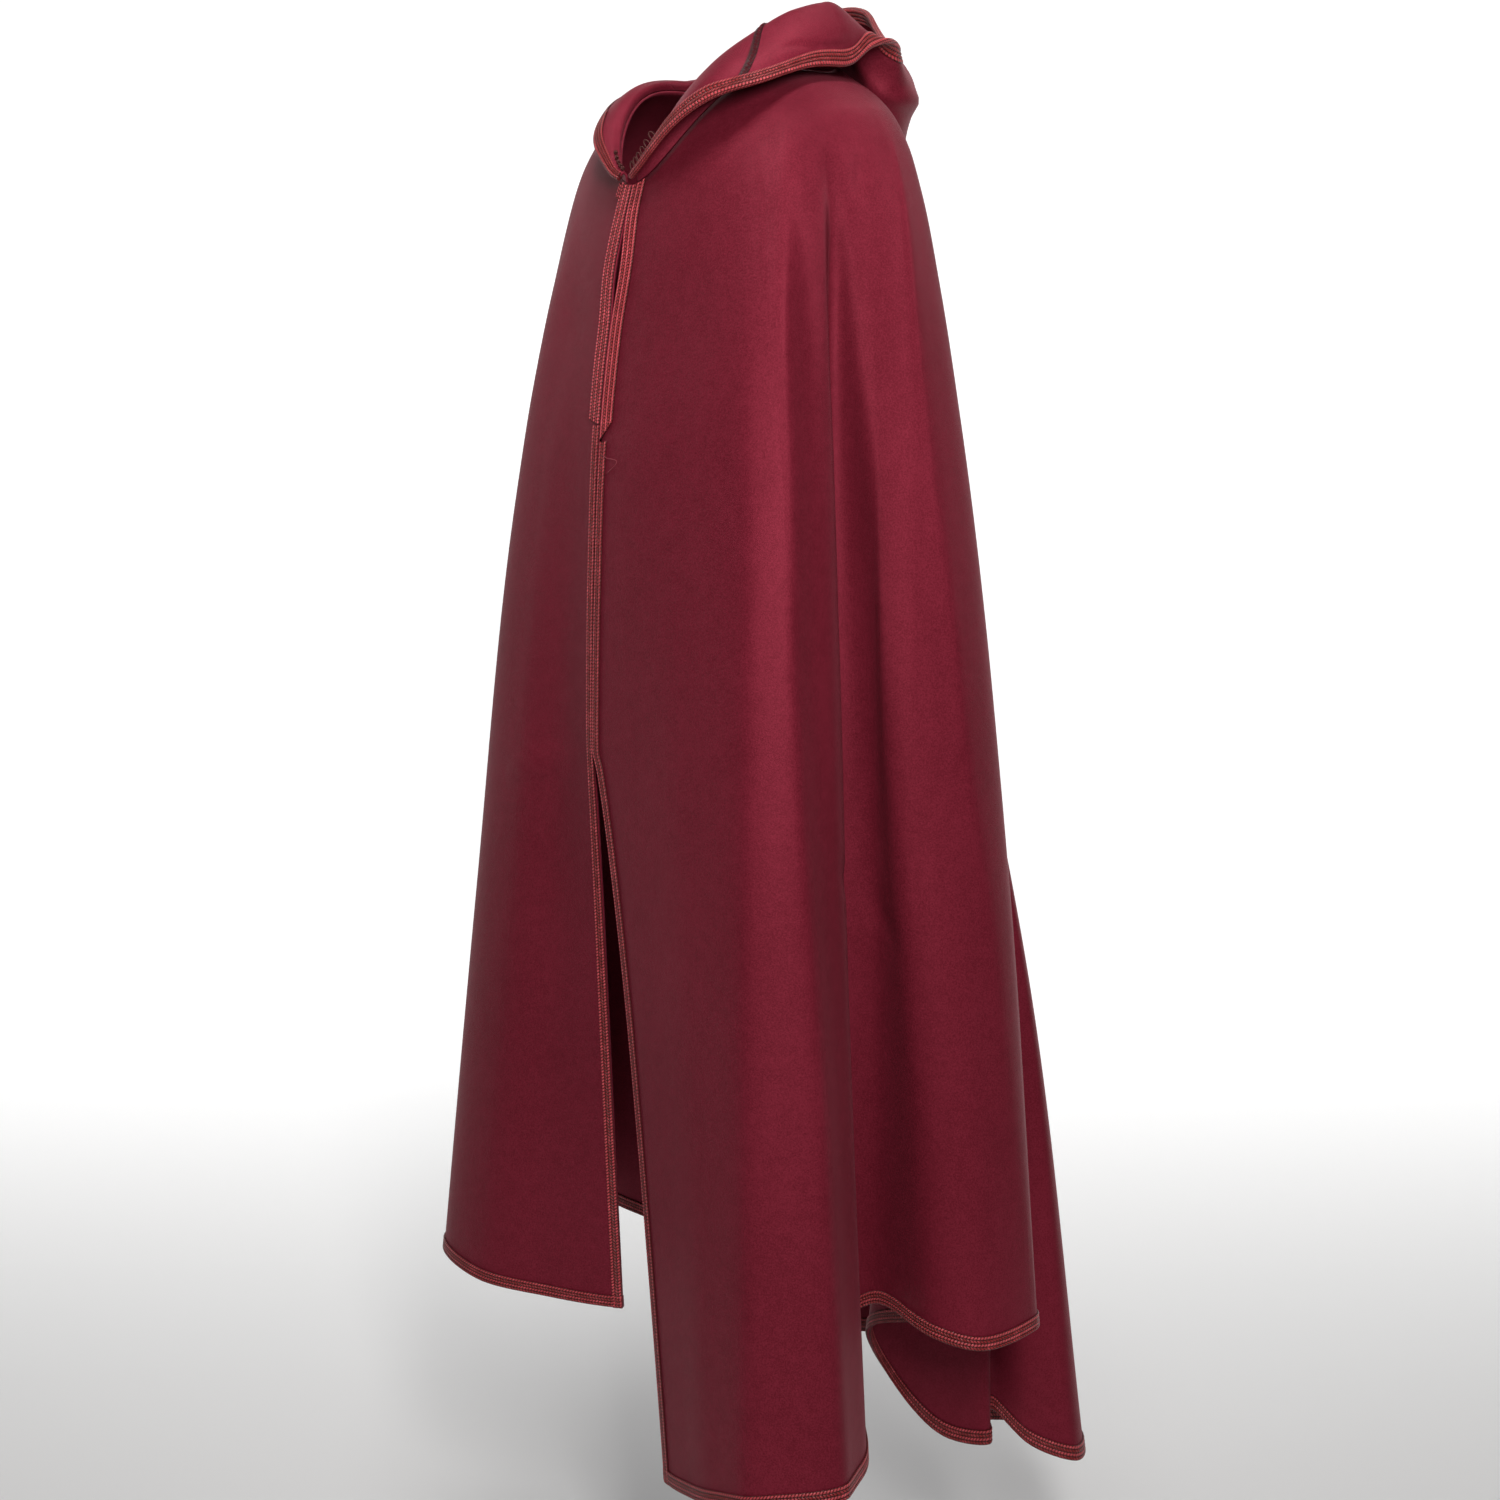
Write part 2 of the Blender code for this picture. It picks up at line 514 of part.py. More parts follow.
def main():
    """Make every piece of the cloak."""
    for old in list(bpy.data.objects):
        bpy.data.objects.remove(old)
    wool = finish("burgundy_wool", (0.133, 0.014, 0.027), 0.85)
    braid = finish("satin_braid", (0.27, 0.035, 0.045), 0.42)
    cord = finish("brown_cord", (0.03, 0.008, 0.009), 0.6)

    grid, runs = body_grid()
    outward = normals_of(grid)
    walled("cloak_body", grid, grid - outward * CLOTH, wool)
    placket_end = list(runs).index(PLACKET_RUN)
    hem = len(runs) - 2
    for left, side in ((False, "right"), (True, "left")):
        slant = ROW * 4 if left else ROW
        side_band(f"placket_{side}", grid, outward, left, 0, placket_end, PLACKET_ROWS, braid, True, slant)
        side_band(f"edge_braid_{side}", grid, outward, left, placket_end, hem, EDGE_ROWS, braid, False)
    rim_band("hem_braid", grid, outward, braid, False)

    hood = hood_grid()
    hood_out = normals_of(hood)
    hood_back = hood - hood_out * CLOTH
    around = np.linspace(PROFILES[0].angle, PROFILES[-1].angle, HOOD_COLUMNS + 1)
    seam = ring_point(around, np.zeros_like(around))[:, 2] + SEAM
    hood_back[0, :, 2] = np.maximum(hood_back[0, :, 2], seam)
    right_end, left_end = HOOD_STRIP_ENDS
    hood_piece("hood_front_right", hood, hood_back, 0, right_end, wool)
    hood_piece("hood", hood, hood_back, right_end, left_end, wool)
    hood_piece("hood_front_left", hood, hood_back, left_end, HOOD_COLUMNS, wool)
    rim_band("hood_braid", hood, hood_out, braid, True)
    clasp(hood, cord, cord)


main()
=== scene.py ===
"""A burnous: a hooded cloak of burgundy wool, braided along its edges, as it hangs from the shoulders.

The frame is the cloak's own: metres, +Z up, the wearer faces -Y with the left hand at +X, and the origin
is the middle of the neck base.  Angles go round the neck from the middle of the back (0): the left
shoulder is at 90, the right one at -90, the front opening at 180.
"""

from __future__ import annotations

import logging
import math
from dataclasses import dataclass, field
from enum import Enum
from typing import Any, NamedTuple, Sequence

import bpy
import numpy as np
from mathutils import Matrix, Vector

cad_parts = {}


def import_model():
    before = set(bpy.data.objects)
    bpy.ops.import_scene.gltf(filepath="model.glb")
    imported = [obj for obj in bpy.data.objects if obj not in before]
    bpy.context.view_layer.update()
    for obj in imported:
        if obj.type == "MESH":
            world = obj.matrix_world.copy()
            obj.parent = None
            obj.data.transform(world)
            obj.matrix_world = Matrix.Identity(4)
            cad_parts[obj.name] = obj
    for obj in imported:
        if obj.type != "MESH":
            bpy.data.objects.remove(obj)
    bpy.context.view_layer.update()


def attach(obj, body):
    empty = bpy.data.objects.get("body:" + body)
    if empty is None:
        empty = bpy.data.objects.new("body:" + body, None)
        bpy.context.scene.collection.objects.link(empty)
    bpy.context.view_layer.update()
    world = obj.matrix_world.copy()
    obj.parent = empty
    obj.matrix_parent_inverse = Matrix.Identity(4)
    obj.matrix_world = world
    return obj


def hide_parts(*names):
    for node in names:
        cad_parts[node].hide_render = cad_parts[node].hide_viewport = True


LOG = logging.getLogger("cloak")
Piece = bpy.types.Object
Material = bpy.types.Material
Array = np.ndarray
Colour = tuple[float, float, float]
Place = tuple[float, float, float]
Pair = tuple[float, float]
Named = dict[Any, Any]

CLOTH = 0.0022  # thickness of the wool cloth
ROW = 0.0037  # width of one row of stitched cord
SEAM = 0.0008  # air between the hood and the neckline
AIR = 0.0003  # between a cord or a band and what it lies on
UP = (0.0, 0.0, 1.0)
OBLIQUE = (0.3, 0.2, 0.93)  # a direction that no cord starts in


# ---------------------------------------------------------------------------------------------------
# Shader nodes
# ---------------------------------------------------------------------------------------------------


class Value:
    """A number that a node puts out.  Python's operators on it add Math nodes."""

    def __init__(self, recipe: Recipe, socket: bpy.types.NodeSocket) -> None:
        """Wrap a socket.

        Args:
            recipe: The material that the socket's node belongs to.
            socket: The output socket.
        """
        self.recipe = recipe
        self.socket = socket

    def _math(self, operation: str, *terms: Any) -> Value:
        """Add a Math node.

        Args:
            operation: The node's operation.
            *terms: Its inputs in order, numbers or other values.

        Returns:
            What the node puts out.
        """
        return self.recipe.add("ShaderNodeMath", {"operation": operation}, dict(enumerate(terms)))

    def __add__(self, other: Any) -> Value:
        """The sum."""
        return self._math("ADD", self, other)

    __radd__ = __add__

    def __sub__(self, other: Any) -> Value:
        """The difference."""
        return self._math("SUBTRACT", self, other)

    def __rsub__(self, other: Any) -> Value:
        """The difference, with this value taken away."""
        return self._math("SUBTRACT", other, self)

    def __mul__(self, other: Any) -> Value:
        """The product."""
        return self._math("MULTIPLY", self, other)

    __rmul__ = __mul__

    def __truediv__(self, other: Any) -> Value:
        """The quotient."""
        return self._math("DIVIDE", self, other)

    def __abs__(self) -> Value:
        """The size without its sign."""
        return self._math("ABSOLUTE", self)

    def fraction(self) -> Value:
        """What is left above the whole number below."""
        return self._math("FRACT", self)

    def between(self, low: float, high: float) -> Value:
        """A smooth step.

        Args:
            low: Where the step leaves 0.
            high: Where it reaches 1.

        Returns:
            The step, from 0 to 1.
        """
        settings = {"interpolation_type": "SMOOTHSTEP", "clamp": True}
        inputs = {"Value": self, "From Min": low, "From Max": high}
        return self.recipe.add("ShaderNodeMapRange", settings, inputs)

    def wave(self) -> Value:
        """A wave from 0 to 1 for each whole number."""
        return self._math("SINE", self * math.tau) * 0.5 + 0.5


class Recipe:
    """A material, and the one place where its nodes are added."""

    def __init__(self, name: str) -> None:
        """Start a material with its shader and nothing else.

        Args:
            name: The material's name.
        """
        self.material = bpy.data.materials.new(name)
        self.material.use_nodes = True
        self.tree = self.material.node_tree
        self.shader = self.tree.nodes["Principled BSDF"]

    def add(
        self, kind: str, settings: Named | None = None, inputs: Named | None = None, out: Any = 0
    ) -> Value:
        """Add one node.

        Args:
            kind: The node's type.
            settings: Its properties, which are set before its sockets.
            inputs: A value, or a Value to link, for each socket by name or number.
            out: The output that is wanted, by name or number.

        Returns:
            That output.
        """
        node = self.tree.nodes.new(kind)
        for key, setting in (settings or {}).items():
            setattr(node, key, setting)
        for key, given in (inputs or {}).items():
            self.feed(node.inputs[key], given)
        return Value(self, node.outputs[out])

    def feed(self, socket: bpy.types.NodeSocket, given: Any) -> None:
        """Give an input socket a number, a colour or a link.

        Args:
            socket: The input socket.
            given: A Value to link, or what the socket is set to.
        """
        if isinstance(given, Value):
            self.tree.links.new(given.socket, socket)
        elif socket.type == "RGBA":
            socket.default_value = (*given, 1.0)
        else:
            socket.default_value = given

    def finished(self, inputs: Named) -> Material:
        """Set or link the shader's own sockets.

        Args:
            inputs: What each socket is given, by its name.

        Returns:
            The material.
        """
        for name, given in inputs.items():
            self.feed(self.shader.inputs[name], given)
        return self.material

    def place(self) -> Value:
        """The place on the surface, in metres."""
        return self.add("ShaderNodeTexCoord", out="Object")

    def map(self, name: str) -> tuple[Value, Value]:
        """The u and v of a UV map, by its name."""
        vector = self.add("ShaderNodeUVMap", {"uv_map": name})
        node = self.add("ShaderNodeSeparateXYZ", {}, {0: vector}).socket.node
        return Value(self, node.outputs[0]), Value(self, node.outputs[1])

    def tone(self, name: str) -> Value:
        """A number that the mesh's points carry, by its name."""
        return self.add("ShaderNodeAttribute", {"attribute_name": name}, out="Fac")

    def mix(self, first: Any, second: Any, share: Any) -> Value:
        """Mix two colours.

        Args:
            first: The colour at share 0.
            second: The colour at share 1.
            share: How much of the second.

        Returns:
            The mixed colour.
        """
        settings = {"data_type": "RGBA", "clamp_factor": True}
        return self.add("ShaderNodeMix", settings, {"Factor": share, 6: first, 7: second}, 2)

    def scaled(self, vector: Value, by: Place) -> Value:
        """A vector with each part multiplied.

        Args:
            vector: The vector.
            by: What its x, y and z are multiplied by.

        Returns:
            The new vector.
        """
        return self.add("ShaderNodeVectorMath", {"operation": "MULTIPLY"}, {0: vector, 1: by})

    def noise(self, place: Value, scale: float, detail: float = 2.0, rough: float = 0.5) -> Value:
        """Soft noise about 0.5.

        Args:
            place: Where on the surface, as a vector.
            scale: Spots to a metre, or to one unit of the vector.
            detail: How many finer layers lie over the spots.
            rough: How strong the finer layers are.

        Returns:
            The noise.
        """
        inputs = {"Vector": place, "Scale": scale, "Detail": detail, "Roughness": rough}
        return self.add("ShaderNodeTexNoise", {}, inputs)

    def raise_by(
        self, height: Value, distance: float, strength: float = 1.0, over: Value | None = None
    ) -> Value:
        """A normal with a bump.

        Args:
            height: The bump's height, from 0 to 1.
            distance: How far that is, in metres.
            strength: How much of it shows.
            over: Another bump's normal, which this one lies over.

        Returns:
            The normal.
        """
        inputs = {"Height": height, "Distance": distance, "Strength": strength}
        if over is not None:
            inputs["Normal"] = over
        return self.add("ShaderNodeBump", {}, inputs)


# ---------------------------------------------------------------------------------------------------
# Finishes
# ---------------------------------------------------------------------------------------------------


@dataclass(frozen=True)
class WoolFinish:
    """Brushed wool cloth: a fine twill under a short nap that catches the light at its edges."""

    name: str = "burgundy_wool_cloth"
    deep: Colour = (0.110, 0.0068, 0.0154)
    light: Colour = (0.168, 0.0132, 0.0276)
    fleck: Colour = (0.24, 0.036, 0.062)
    nap_tint: Colour = (1.0, 0.30, 0.38)
    nap: float = 0.05
    satin: float = 0.23  # how much of the light the nap sends back like a satin
    twill: float = 0.0011  # from one ridge of the twill to the next
    twill_slope: float = 0.55
    roughness: float = 0.50
    cloud_scale: float = 5.0  # spots to a metre, here and below
    mottle_scale: float = 70.0
    grain_scale: float = 620.0
    fibre_scale: float = 2400.0
    fibre_stretch: Place = (1.0, 1.0, 0.28)  # the fibres lie down the cloth
    level: float = 0.45  # the tone between deep and light that the noises play about
    cloud_contrast: float = 0.9
    mottle_contrast: float = 0.9
    grain_contrast: float = 3.8
    ridge_contrast: float = 0.06
    flecks: Pair = (0.66, 0.82)  # from where to where a fibre turns into a fleck
    fleck_share: float = 0.35
    mottle_height: float = 0.0011
    nap_height: float = 0.0005

    def make(self) -> Material:
        """Make the material.

        Returns:
            The material.
        """
        recipe = Recipe(self.name)
        place = recipe.place()
        across, down = recipe.map("weave")
        cloudy = recipe.noise(place, self.cloud_scale, 3.0)
        mottled = recipe.noise(place, self.mottle_scale, 3.0, 0.6)
        grain = recipe.noise(place, self.grain_scale, 3.0, 0.75)
        fibres = recipe.noise(recipe.scaled(place, self.fibre_stretch), self.fibre_scale, 1.0)
        ridge = ((across + down * self.twill_slope) / self.twill).wave()
        tone = (cloudy - 0.5) * self.cloud_contrast + (mottled - 0.5) * self.mottle_contrast
        tone = tone + (grain - 0.5) * self.grain_contrast + ridge * self.ridge_contrast + self.level
        colour = recipe.mix(self.deep, self.light, tone)
        nap = grain * 0.65 + fibres * 0.35
        twilled = recipe.raise_by(ridge * 0.25 + nap * 0.75, self.nap_height, 0.75)
        return recipe.finished({
            "Base Color": recipe.mix(colour, self.fleck, fibres.between(*self.flecks) * self.fleck_share),
            "Roughness": (grain - 0.5) * 0.12 + self.roughness,
            "Normal": recipe.raise_by(mottled, self.mottle_height, 0.32, twilled),
            "Metallic": self.satin,
            "Specular IOR Level": 0.30,
            "Specular Tint": self.nap_tint,
            "Sheen Weight": self.nap,
            "Sheen Roughness": 0.42,
            "Sheen Tint": self.nap_tint,
        })


@dataclass(frozen=True)
class BraidFinish:
    """Rows of satin cord, each stitched down with slanting stitches, with painted shade in the grooves and a
    painted highlight on the crests.
    """

    name: str = "satin_braid_thread"
    # painted shade: the dark colour put into the grooves between stitches and between rows
    groove_shade: Colour = (0.026, 0.0014, 0.0018)
    thread: Colour = (0.200, 0.0100, 0.0105)
    # painted highlight: the pale pink put on the crest of each stitch and row
    painted_shine: Colour = (0.840, 0.124, 0.152)
    sheen: Colour = (1.0, 0.45, 0.52)
    slant: float = 0.75
    roughness: float = 0.40
    stitch_edge: Pair = (0.04, 0.66)  # where a stitch starts to rise from its groove, and where it is full
    row_edge: Pair = (0.05, 0.62)  # the same for a row
    pale_share: float = 0.66  # how much of the painted shine a pale row has
    patchy_share: float = 0.30  # and a random patch
    patchy_scale: float = 110.0
    height: float = 0.0009

    def make(self) -> Material:
        """Make the material.

        Returns:
            The material.
        """
        recipe = Recipe(self.name)
        along, row = recipe.map("stitches")
        inside = row.fraction()
        turned = (row * 0.5).fraction().between(0.49, 0.51) * 2.0 - 1.0
        stitch = (along + (inside - 0.5) * turned * self.slant).fraction()
        crown = (1.0 - abs(stitch - 0.5) * 2.0).between(*self.stitch_edge)
        body = (1.0 - abs(inside - 0.5) * 2.0).between(*self.row_edge)
        strands = (along * 0.6 + inside * 3.0).wave()
        # random patches: they vary the roughness, and get more of the painted shine
        patchy = recipe.noise(recipe.place(), self.patchy_scale, 3.0, 0.6)
        # each row's share of the painted shine: partly the paler thread of the pale rows, partly painted
        # highlight
        pale = recipe.tone("pale") * self.pale_share + patchy.between(0.45, 0.70) * self.patchy_share
        # painted shade: the thread colour darkens into the grooves between stitches and rows
        colour = recipe.mix(self.groove_shade, self.thread, crown * body * 0.85 + 0.15)
        height = crown * 0.55 + strands * 0.12 + body * 0.33
        return recipe.finished({
            # painted highlight: the pale pink goes onto the crests of stitches and rows, as much as each
            # row's share says
            "Base Color": recipe.mix(colour, self.painted_shine, body * crown * pale),
            "Roughness": (patchy - 0.5) * 0.25 + self.roughness,
            "Normal": recipe.raise_by(height, self.height),
            "Specular IOR Level": 0.30,
            "Sheen Weight": 0.03,
            "Sheen Roughness": 0.35,
            "Sheen Tint": self.sheen,
        })


@dataclass(frozen=True)
class ThreadFinish:
    """Plain twisted thread or cord."""

    name: str
    dark: Colour
    light: Colour
    twists: float = 900.0  # turns of the twist to a metre
    fuzz_scale: float = 1800.0
    roughness: float = 0.5
    height: float = 0.0002

    def make(self) -> Material:
        """Make the material.

        Returns:
            The material.
        """
        recipe = Recipe(self.name)
        along, around = recipe.map("twist")
        ply = (along * self.twists + around * 2.0).wave()
        fuzz = recipe.noise(recipe.place(), self.fuzz_scale)
        return recipe.finished({
            # painted shade and highlight: darker between the plies of the twist, lighter on them, with
            # random fuzz over it
            "Base Color": recipe.mix(self.dark, self.light, ply * 0.6 + fuzz * 0.35),
            "Roughness": (fuzz - 0.5) * 0.2 + self.roughness,
            "Normal": recipe.raise_by(ply, self.height, 0.8),
            "Specular IOR Level": 0.15,
        })


@dataclass(frozen=True)
class PaperFinish:
    """The matt, pale sheet that the cloak is shown on, glowing with painted light: dim near the cloak and
    bright on the far wall.
    """

    name: str = "studio_paper"
    black: Colour = (0.0, 0.0, 0.0)
    tone: Colour = (0.62, 0.62, 0.62)
    dim: Colour = (0.03, 0.03, 0.03)
    glow: Colour = (0.80, 0.80, 0.80)

    def make(self) -> Material:
        """Make the material.

        Returns:
            The material.
        """
        recipe = Recipe(self.name)
        soft = recipe.noise(recipe.place(), 0.8) * 0.02 + 0.98
        return recipe.finished({
            "Base Color": recipe.mix(self.black, self.tone, soft),
            "Roughness": 0.9,
            "Emission Color": recipe.mix(self.dim, self.glow, recipe.tone("lit")),
            "Emission Strength": 1.0,
        })


# ---------------------------------------------------------------------------------------------------
# The cloth's form
# ---------------------------------------------------------------------------------------------------


class Side(Enum):
    """One of the cloak's two front edges."""

    RIGHT = "right"
    LEFT = "left"


class Ring(NamedTuple):
    """The plain form at one place down the cloth: its reach and height at the side, front and back."""

    run: float
    side: float
    front: float
    back: float
    side_z: float
    front_z: float
    back_z: float


class Fold(NamedTuple):
    """One line down the cloth: the angle it leaves the shoulders at, its end at the hem, and its opening."""

    yoke: float
    x: float
    y: float
    z: float
    start: float
    ease: float


class Profile(NamedTuple):
    """The hood's section at one angle round the neck: millimetres out from the neckline and up from it."""

    angle: float
    rise_out: int
    rise_up: int
    turn_out: int
    turn_up: int
    wall_out: int
    wall_up: int
    swell_out: int
    swell_up: int
    rim_out: int
    rim_up: int


RINGS = (
    Ring(0.000, 0.096, 0.142, 0.072, 0.000, -0.108, 0.034),
    Ring(0.025, 0.130, 0.151, 0.080, -0.010, -0.140, 0.010),
    Ring(0.050, 0.161, 0.158, 0.088, -0.025, -0.173, -0.018),
    Ring(0.075, 0.187, 0.164, 0.096, -0.046, -0.206, -0.048),
    Ring(0.100, 0.206, 0.169, 0.105, -0.076, -0.240, -0.082),
    Ring(0.130, 0.218, 0.175, 0.117, -0.115, -0.281, -0.126),
    Ring(0.200, 0.233, 0.184, 0.143, -0.206, -0.367, -0.231),
    Ring(0.300, 0.249, 0.190, 0.170, -0.335, -0.489, -0.383),
    Ring(0.650, 0.273, 0.195, 0.252, -0.787, -0.917, -0.914),
    Ring(1.000, 0.290, 0.200, 0.270, -1.240, -1.345, -1.440),
)
FOLDS = (
    Fold(-180, -0.020, -0.150, -1.240, 0.42, 1.0),  # right front edge
    Fold(-170, -0.090, -0.195, -1.238, 0.20, 0.9),
    Fold(-160, -0.165, -0.235, -1.232, 0.05, 0.9),
    Fold(-148, -0.250, -0.225, -1.219, 0.00, 0.85),  # right front crest
    Fold(-139, -0.262, -0.165, -1.220, 0.00, 0.9),
    Fold(-131, -0.215, -0.120, -1.225, 0.10, 1.2),  # hollow
    Fold(-124, -0.255, -0.085, -1.225, 0.05, 1.0),
    Fold(-116, -0.325, -0.060, -1.222, 0.00, 1.0),
    Fold(-107, -0.315, 0.000, -1.225, 0.00, 1.0),  # right side crest
    Fold(-98, -0.245, 0.025, -1.235, 0.05, 1.0),
    Fold(-90, -0.190, 0.055, -1.250, 0.10, 1.2),  # hollow
    Fold(-83, -0.245, 0.100, -1.265, 0.05, 1.0),
    Fold(-76, -0.292, 0.160, -1.285, 0.00, 1.0),
    Fold(-68, -0.262, 0.205, -1.310, 0.00, 1.0),  # right back crest
    Fold(-60, -0.190, 0.185, -1.340, 0.05, 1.0),
    Fold(-52, -0.130, 0.185, -1.375, 0.10, 1.2),  # hollow
    Fold(-45, -0.150, 0.262, -1.405, 0.05, 1.0),
    Fold(-38, -0.130, 0.350, -1.430, 0.00, 1.0),
    Fold(-31, -0.075, 0.355, -1.445, 0.00, 1.0),  # back crest
    Fold(-24, -0.030, 0.290, -1.448, 0.05, 1.0),
    Fold(-17, 0.030, 0.262, -1.450, 0.10, 1.2),  # hollow
    Fold(-10, 0.085, 0.345, -1.462, 0.02, 0.85),
    Fold(-4, 0.150, 0.352, -1.465, 0.02, 0.85),  # left back crest
    Fold(4, 0.178, 0.316, -1.466, 0.02, 0.85),
    Fold(11, 0.142, 0.280, -1.450, 0.03, 1.0),
    Fold(17, 0.102, 0.261, -1.418, 0.03, 1.0),  # shallow hollow
    Fold(23, 0.118, 0.232, -1.420, 0.03, 1.0),
    Fold(29, 0.154, 0.207, -1.425, 0.03, 1.0),  # inner back crest
    Fold(35, 0.110, 0.182, -1.425, 0.03, 1.0),
    Fold(42, 0.062, 0.152, -1.375, 0.05, 1.0),
    Fold(49, 0.066, 0.112, -1.300, 0.05, 1.0),  # deep hollow
    Fold(56, 0.140, 0.124, -1.270, 0.03, 1.0),
    Fold(64, 0.235, 0.152, -1.240, 0.00, 1.0),
    Fold(73, 0.294, 0.128, -1.230, 0.00, 1.0),  # left side crest
    Fold(83, 0.292, 0.060, -1.236, 0.00, 1.0),
    Fold(93, 0.240, 0.030, -1.222, 0.00, 1.0),
    Fold(101, 0.178, 0.018, -1.215, 0.00, 0.9),
    Fold(108, 0.150, -0.012, -1.250, 0.00, 0.9),  # hollow behind the front crest
    Fold(115, 0.215, -0.035, -1.300, 0.00, 1.0),
    Fold(122, 0.268, -0.070, -1.330, 0.05, 1.1),
    Fold(131, 0.268, -0.118, -1.338, 0.02, 1.0),  # left front crest
    Fold(142, 0.240, -0.162, -1.345, 0.02, 1.0),
    Fold(155, 0.195, -0.186, -1.358, 0.10, 1.0),
    Fold(168, 0.150, -0.188, -1.368, 0.25, 0.9),
    Fold(180, 0.100, -0.183, -1.373, 0.38, 0.75),  # left front edge
)
PROFILES = (
    Profile(-175, 1, 5, 3, 9, 6, 10, 9, 8, 12, 4),
    Profile(-160, 0, 8, 3, 12, 8, 12, 13, 9, 18, 4),
    Profile(-146, 0, 6, 4, 10, 11, 10, 20, 6, 27, -1),
    Profile(-130, 0, 5, 4, 9, 13, 9, 23, 3, 31, -6),
    Profile(-112, -1, 5, 5, 9, 15, 9, 27, 2, 36, -7),
    Profile(-92, -1, 6, 6, 11, 20, 11, 34, 4, 43, -4),
    Profile(-72, 2, 9, 12, 14, 30, 14, 45, 12, 58, 10),
    Profile(-54, 9, 12, 28, 2, 46, 4, 60, 18, 66, 38),
    Profile(-36, 12, 12, 52, -58, 74, -44, 86, -12, 76, 50),
    Profile(-18, 12, 11, 74, -150, 92, -82, 104, -32, 88, 58),
    Profile(0, 12, 10, 84, -200, 98, -88, 107, -34, 74, 46),
    Profile(17, 12, 11, 74, -155, 90, -80, 99, -32, 58, 24),
    Profile(33, 12, 12, 54, -80, 70, -54, 77, -24, 54, 14),
    Profile(42, 11, 11, 40, -28, 55, -24, 65, -12, 62, 12),
    Profile(50, 9, 12, 26, 8, 39, 8, 51, 10, 60, 21),
    Profile(58, 5, 16, 18, 28, 30, 31, 43, 26, 58, 24),
    Profile(68, 1, 23, 10, 45, 21, 50, 36, 38, 49, 20),
    Profile(84, -4, 30, 4, 56, 20, 60, 38, 38, 46, 2),
    Profile(101, -4, 26, 6, 48, 22, 50, 44, 24, 53, -4),
    Profile(118, -2, 18, 8, 34, 22, 36, 46, 14, 60, -12),
    Profile(134, 0, 14, 6, 29, 20, 32, 38, 18, 50, -3),
    Profile(148, 0, 12, 5, 25, 14, 28, 26, 18, 34, 4),
    Profile(161, 0, 9, 4, 17, 10, 18, 17, 13, 22, 5),
    Profile(175, 1, 5, 3, 9, 6, 10, 9, 8, 12, 4),
)
PROFILE_KNOTS = (0.0, 0.15, 0.45, 0.65, 0.8, 1.0)  # where seam, rise, turn, wall, swell and rim stand


def spline(knots: Sequence[float], values: Any, at: Any) -> Array:
    """A smooth curve through values.

    Args:
        knots: Where the values stand, in rising order.
        values: A value, or a row of them, for each knot.
        at: The places that are asked for.

    Returns:
        The values there.
    """
    knots, values, at = (np.asarray(given, float) for given in (knots, values, at))
    steps = np.diff(knots)
    steps = steps.reshape(steps.shape + (1,) * (values.ndim - 1))
    slopes = np.diff(values, axis=0) / steps
    tangents = np.empty_like(values)
    tangents[0], tangents[-1] = slopes[0], slopes[-1]
    tangents[1:-1] = (slopes[:-1] * steps[1:] + slopes[1:] * steps[:-1]) / (steps[:-1] + steps[1:])
    cell = np.clip(np.searchsorted(knots, at, side="right") - 1, 0, len(knots) - 2)
    width = knots[cell + 1] - knots[cell]
    share = (at - knots[cell]) / width
    pad = (slice(None),) * at.ndim + (None,) * (values.ndim - 1)
    share, width = share[pad], width[pad]
    return (
        values[cell] * (1 + 2 * share) * (1 - share) ** 2
        + tangents[cell] * width * share * (1 - share) ** 2
        + values[cell + 1] * share**2 * (3 - 2 * share)
        - tangents[cell + 1] * width * share**2 * (1 - share)
    )


def unit(vectors: Array) -> Array:
    """The vectors, each of length 1."""
    return vectors / np.maximum(np.linalg.norm(vectors, axis=-1, keepdims=True), 1e-12)


def normals_of(grid: Array) -> Array:
    """Normals of a grid of points.

    Args:
        grid: The points, a row down the cloth and a column across it.

    Returns:
        Unit normals: outward on the cloak, and to the hood's inside on the hood.
    """
    return unit(np.cross(np.gradient(grid, axis=1), np.gradient(grid, axis=0)))


def lifted(grid: Array, lift: Array) -> Array:
    """A grid whose points are moved along its normals, each as far as the lift says."""
    return grid + normals_of(grid) * lift[..., None]


def lengths_along(line: Array) -> Array:
    """How far along a line each of its points is."""
    return np.concatenate([[0.0], np.cumsum(np.linalg.norm(np.diff(line, axis=0), axis=1))])


def sampled(line: Array, known: Array, wanted: Array) -> Array:
    """Points of a line.

    Args:
        line: Its points.
        known: Where they stand on it.
        wanted: The places that are asked for.

    Returns:
        The points there.
    """
    return np.stack([np.interp(wanted, known, line[:, axis]) for axis in range(3)], axis=-1)


def rows_at(grid: Array, place: Array) -> Array:
    """Rows of a grid, or points of a line.

    Args:
        grid: The rows.
        place: Which ones are asked for: 2.5 is midway between rows 2 and 3.

    Returns:
        A row for each place.
    """
    cell = np.minimum(place.astype(int), len(grid) - 2)
    part = (place - cell).reshape(-1, *[1] * (grid.ndim - 1))
    return grid[cell] * (1 - part) + grid[cell + 1] * part


